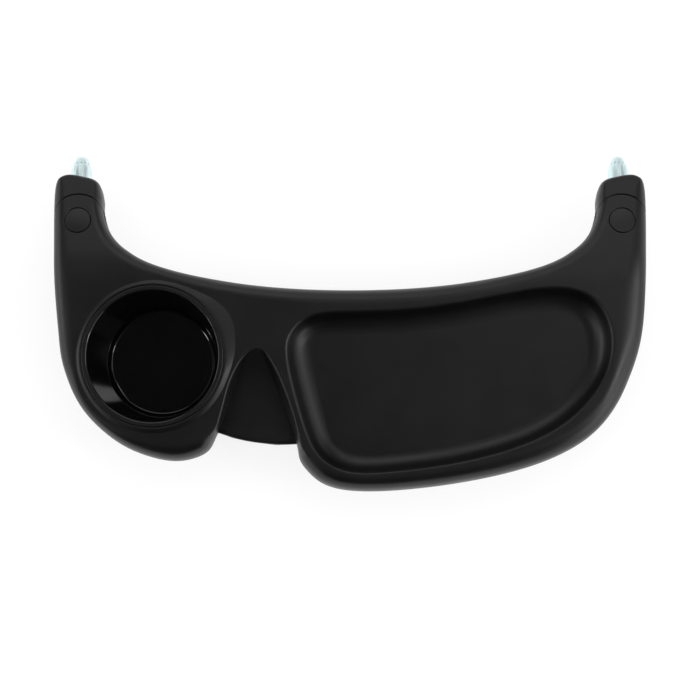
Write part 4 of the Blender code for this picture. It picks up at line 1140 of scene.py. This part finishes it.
def grain_group():
    """Fine moulding grain: a height for the bump and a tone that drifts over the surface."""
    tree = bpy.data.node_groups.new("moulded_grain", "ShaderNodeTree")
    noises = (("Grain Scale", 2.0, "Height"), ("Drift Scale", 3.0, "Drift"))
    tree.interface.new_socket("Vector", in_out="INPUT", socket_type="NodeSocketVector")
    for scale, _, result in noises:
        tree.interface.new_socket(scale, in_out="INPUT", socket_type="NodeSocketFloat")
        tree.interface.new_socket(result, in_out="OUTPUT", socket_type="NodeSocketFloat")
    start = tree.nodes.new("NodeGroupInput")
    end = tree.nodes.new("NodeGroupOutput")
    given = start.outputs
    for scale, detail, result in noises:
        noise = tree.nodes.new("ShaderNodeTexNoise")
        inputs = {"Detail": detail, "Vector": given["Vector"], "Scale": given[scale]}
        set_inputs(tree, end, {result: set_inputs(tree, noise, inputs)["Fac"]})
    return tree


def ranged(tree, source, low, high):
    """A value between low and high that follows the middle of the source's range."""
    node = tree.nodes.new("ShaderNodeMapRange")
    ends = {"From Min": 0.3, "From Max": 0.7, "To Min": low, "To Max": high}
    return set_inputs(tree, node, {**ends, "Value": source})["Result"]


# Name, colour, lowest and highest roughness, metallic, depth of the grain, and the scales of the grain
# and of the drift in tone
FINISHES = (
    ("satin_black_plastic", (0.0016, 0.0016, 0.0017), (0.38, 0.44), 0.0, 0.000012, 4200, 45),
    ("gloss_black_plastic", (0.002, 0.002, 0.0021), (0.05, 0.08), 0.0, 0.0000002, 900, 30),
    ("plated_prong_steel", (0.80, 0.96, 0.97), (0.42, 0.52), 1.0, 0.000004, 2500, 120),
    ("zinc_plated_steel", (0.55, 0.56, 0.58), (0.28, 0.42), 1.0, 0.000006, 3000, 160),
    ("grey_nylon", (0.45, 0.45, 0.43), (0.45, 0.60), 0.0, 0.00001, 2600, 90),
)
TONE_DRIFT = 0.1


def textured(grain, name, colour, rough, metal, bump, grain_scale, drift_scale):
    """A finish whose grain, tone and roughness come from the shared grain group."""
    material, tree, shader = new_material(name)
    place = tree.nodes.new("ShaderNodeTexCoord").outputs["Object"]
    group = tree.nodes.new("ShaderNodeGroup")
    group.node_tree = grain
    scales = {"Grain Scale": grain_scale, "Drift Scale": drift_scale}
    noise = set_inputs(tree, group, {**scales, "Vector": place})
    mix = tree.nodes.new("ShaderNodeMix")
    mix.data_type = "RGBA"
    tones = [(*[c * (1 + drift) for c in colour], 1) for drift in (-TONE_DRIFT, TONE_DRIFT)]
    tone = set_inputs(tree, mix, {"A": tones[0], "B": tones[1], "Factor": noise["Drift"]})
    grained = tree.nodes.new("ShaderNodeBump")
    relief = set_inputs(tree, grained, {"Strength": 1.0, "Distance": bump, "Height": noise["Height"]})
    set_inputs(tree, shader, {
        "Roughness": ranged(tree, noise["Drift"], *rough), "Base Color": tone["Result"],
        "Metallic": metal, "Normal": relief["Normal"],
    })
    return material


# Stage

def math_node(tree, operation, first, second):
    node = tree.nodes.new("ShaderNodeMath")
    node.operation = operation
    return set_inputs(tree, node, {0: first, 1: second})[0]


def make_floor():
    """Pale floor, mixed with plain white where it is seen, so that a soft shadow stays."""
    whiteness = 0.8
    mesh = bmesh.new()
    bmesh.ops.create_grid(mesh, x_segments=1, y_segments=1, size=6)
    floor = thing("studio_floor", mesh)
    material, tree, shader = new_material("pale_floor")
    set_inputs(tree, shader, {"Base Color": (0.90, 0.90, 0.90, 1), "Roughness": 0.9})
    white = tree.nodes.new("ShaderNodeEmission")
    white.inputs["Color"].default_value = (1, 1, 1, 1)
    path = tree.nodes.new("ShaderNodeLightPath").outputs
    seen = math_node(tree, "MAXIMUM", path["Is Camera Ray"], path["Is Glossy Ray"])
    seen = math_node(tree, "MAXIMUM", seen, path["Is Transmission Ray"])
    share = math_node(tree, "MULTIPLY", seen, whiteness)
    mix = tree.nodes.new("ShaderNodeMixShader")
    mixed = set_inputs(tree, mix, {0: share, 1: shader.outputs["BSDF"], 2: white.outputs["Emission"]})
    set_inputs(tree, tree.nodes["Material Output"], {"Surface": mixed["Shader"]})
    floor.data.materials.append(material)


def make_world():
    """Plain white all round, to the camera, in reflections and as a light."""
    world = bpy.data.worlds.new("studio")
    bpy.context.scene.world = world
    world.use_nodes = True
    white = {"Color": (1, 1, 1, 1), "Strength": 1.0}
    set_inputs(world.node_tree, world.node_tree.nodes["Background"], white)


def flag(name, low, high, tone):
    """Card outside the picture, which shows only in what the object reflects."""
    card = thing(name, block(low, high))
    card.visible_camera = False
    material, tree, shader = new_material(name)
    set_inputs(tree, shader, {"Base Color": (tone, tone, tone, 1), "Roughness": 0.9})
    card.data.materials.append(material)


def make_flags():
    """Dark walls and ceiling for the reflections. Behind and at the sides, white shows under them."""
    far = 2.0
    top = 2.1
    thick = 0.02
    front_start = 0.02
    side_start = 0.8
    back_start = 0.4
    dark = 0.02
    ceiling_tone = 0.04
    flag("front_flag", (-far, -far - thick, front_start), (far, -far, top), dark)
    flag("left_flag", (-far - thick, -far, side_start), (-far, far, top), dark)
    flag("right_flag", (far, -far, side_start), (far + thick, far, top), dark)
    flag("back_flag", (-far, far, back_start), (far, far + thick, top), dark)
    flag("ceiling_flag", (-far, -far, top), (far, far, top + thick), ceiling_tone)


# Lamps that face straight down or the frame's origin: name, place, size of the face, brightness
# where 1 is white, whether it faces the origin, and whether reflections show it
LAMPS = (
    ("fill_softbox", (0, 0, 1.9), (3.0, 3.0), 1.9, False, False),
    ("key_softbox", (1.05, 0.05, 1.5), (0.8, 1.2), 0.5, False, True),
    ("key_lamp", (1.20, -0.34, 1.28), (0.20, 0.36), 10, True, True),
    ("collar_lamp", (0.29, 0.46, 1.5), (0.22, 0.22), 5.0, False, True),
    ("front_right_softbox", (0.70, -0.55, 1.5), (0.6, 0.5), 0.2, False, True),
    ("right_softbox", (1.35, -0.10, 1.10), (0.9, 0.6), 3.5, True, True),
    ("right_low_softbox", (1.55, -0.95, 0.55), (1.0, 0.7), 2.4, True, True),
    ("back_softbox", (0, 1.42, 1.5), (2.0, 0.7), 1.7, False, True),
    ("left_softbox", (-0.95, 0.35, 1.5), (0.6, 0.9), 0.3, False, True),
    ("left_lamp", (-1.12, -0.42, 1.28), (0.16, 0.30), 15, True, True),
    ("rear_wall_softbox", (-0.2, 1.85, 0.90), (2.2, 0.8), 0.85, True, True),
    ("left_wall_softbox", (-1.80, 0.1, 0.75), (1.2, 0.8), 1.8, True, True),
)


def make_lamps():
    for name, place, size, brightness, aimed, glossy in LAMPS:
        light = bpy.data.lights.new(name, "AREA")
        light.shape = "RECTANGLE"
        light.size, light.size_y = size
        light.energy = brightness * pi * size[0] * size[1]
        item = in_scene(name, light)
        item.location = place
        item.rotation_mode = "QUATERNION"
        way = -Vector(place) if aimed else Vector((0, 0, -1))
        item.rotation_quaternion = way.to_track_quat("-Z", "Y")
        item.visible_glossy = glossy


def make_camera():
    """Camera fitted to the photograph."""
    lens = bpy.data.cameras.new("camera")
    lens.lens = 90
    lens.sensor_width = 36
    camera = in_scene("camera", lens)
    camera.location = (0, -0.1051, 1.2384)
    camera.rotation_euler = (radians(4.15), 0, 0)
    bpy.context.scene.camera = camera


def main():
    grain = grain_group()
    black, gloss, bright, zinc, nylon = (textured(grain, *finish) for finish in FINISHES)
    make_tray_top(black)
    make_base_cover(black)
    make_cup(gloss, black)
    for name, side in (("left", -1), ("right", 1)):
        make_connector(name, side, black)
        make_prong(name, side, bright)
        make_pivot_cap(name, side, black)
        make_pivot_nut(name, side, zinc)
        for part, material in (
            ("pivot_screw", zinc), ("cross_pin", zinc), ("wave_washer", zinc), ("pivot_sleeve", zinc),
            ("friction_washer", nylon),
        ):
            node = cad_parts[f"{name}_{part}"]
            node.data.materials.clear()
            node.data.materials.append(material)
    for number, place in enumerate(SCREW_PLACES, start=1):
        make_cover_screw(number, place, zinc)
    make_floor()
    make_world()
    make_flags()
    make_lamps()
    make_camera()
    bpy.context.scene.view_settings.view_transform = "Standard"


main()
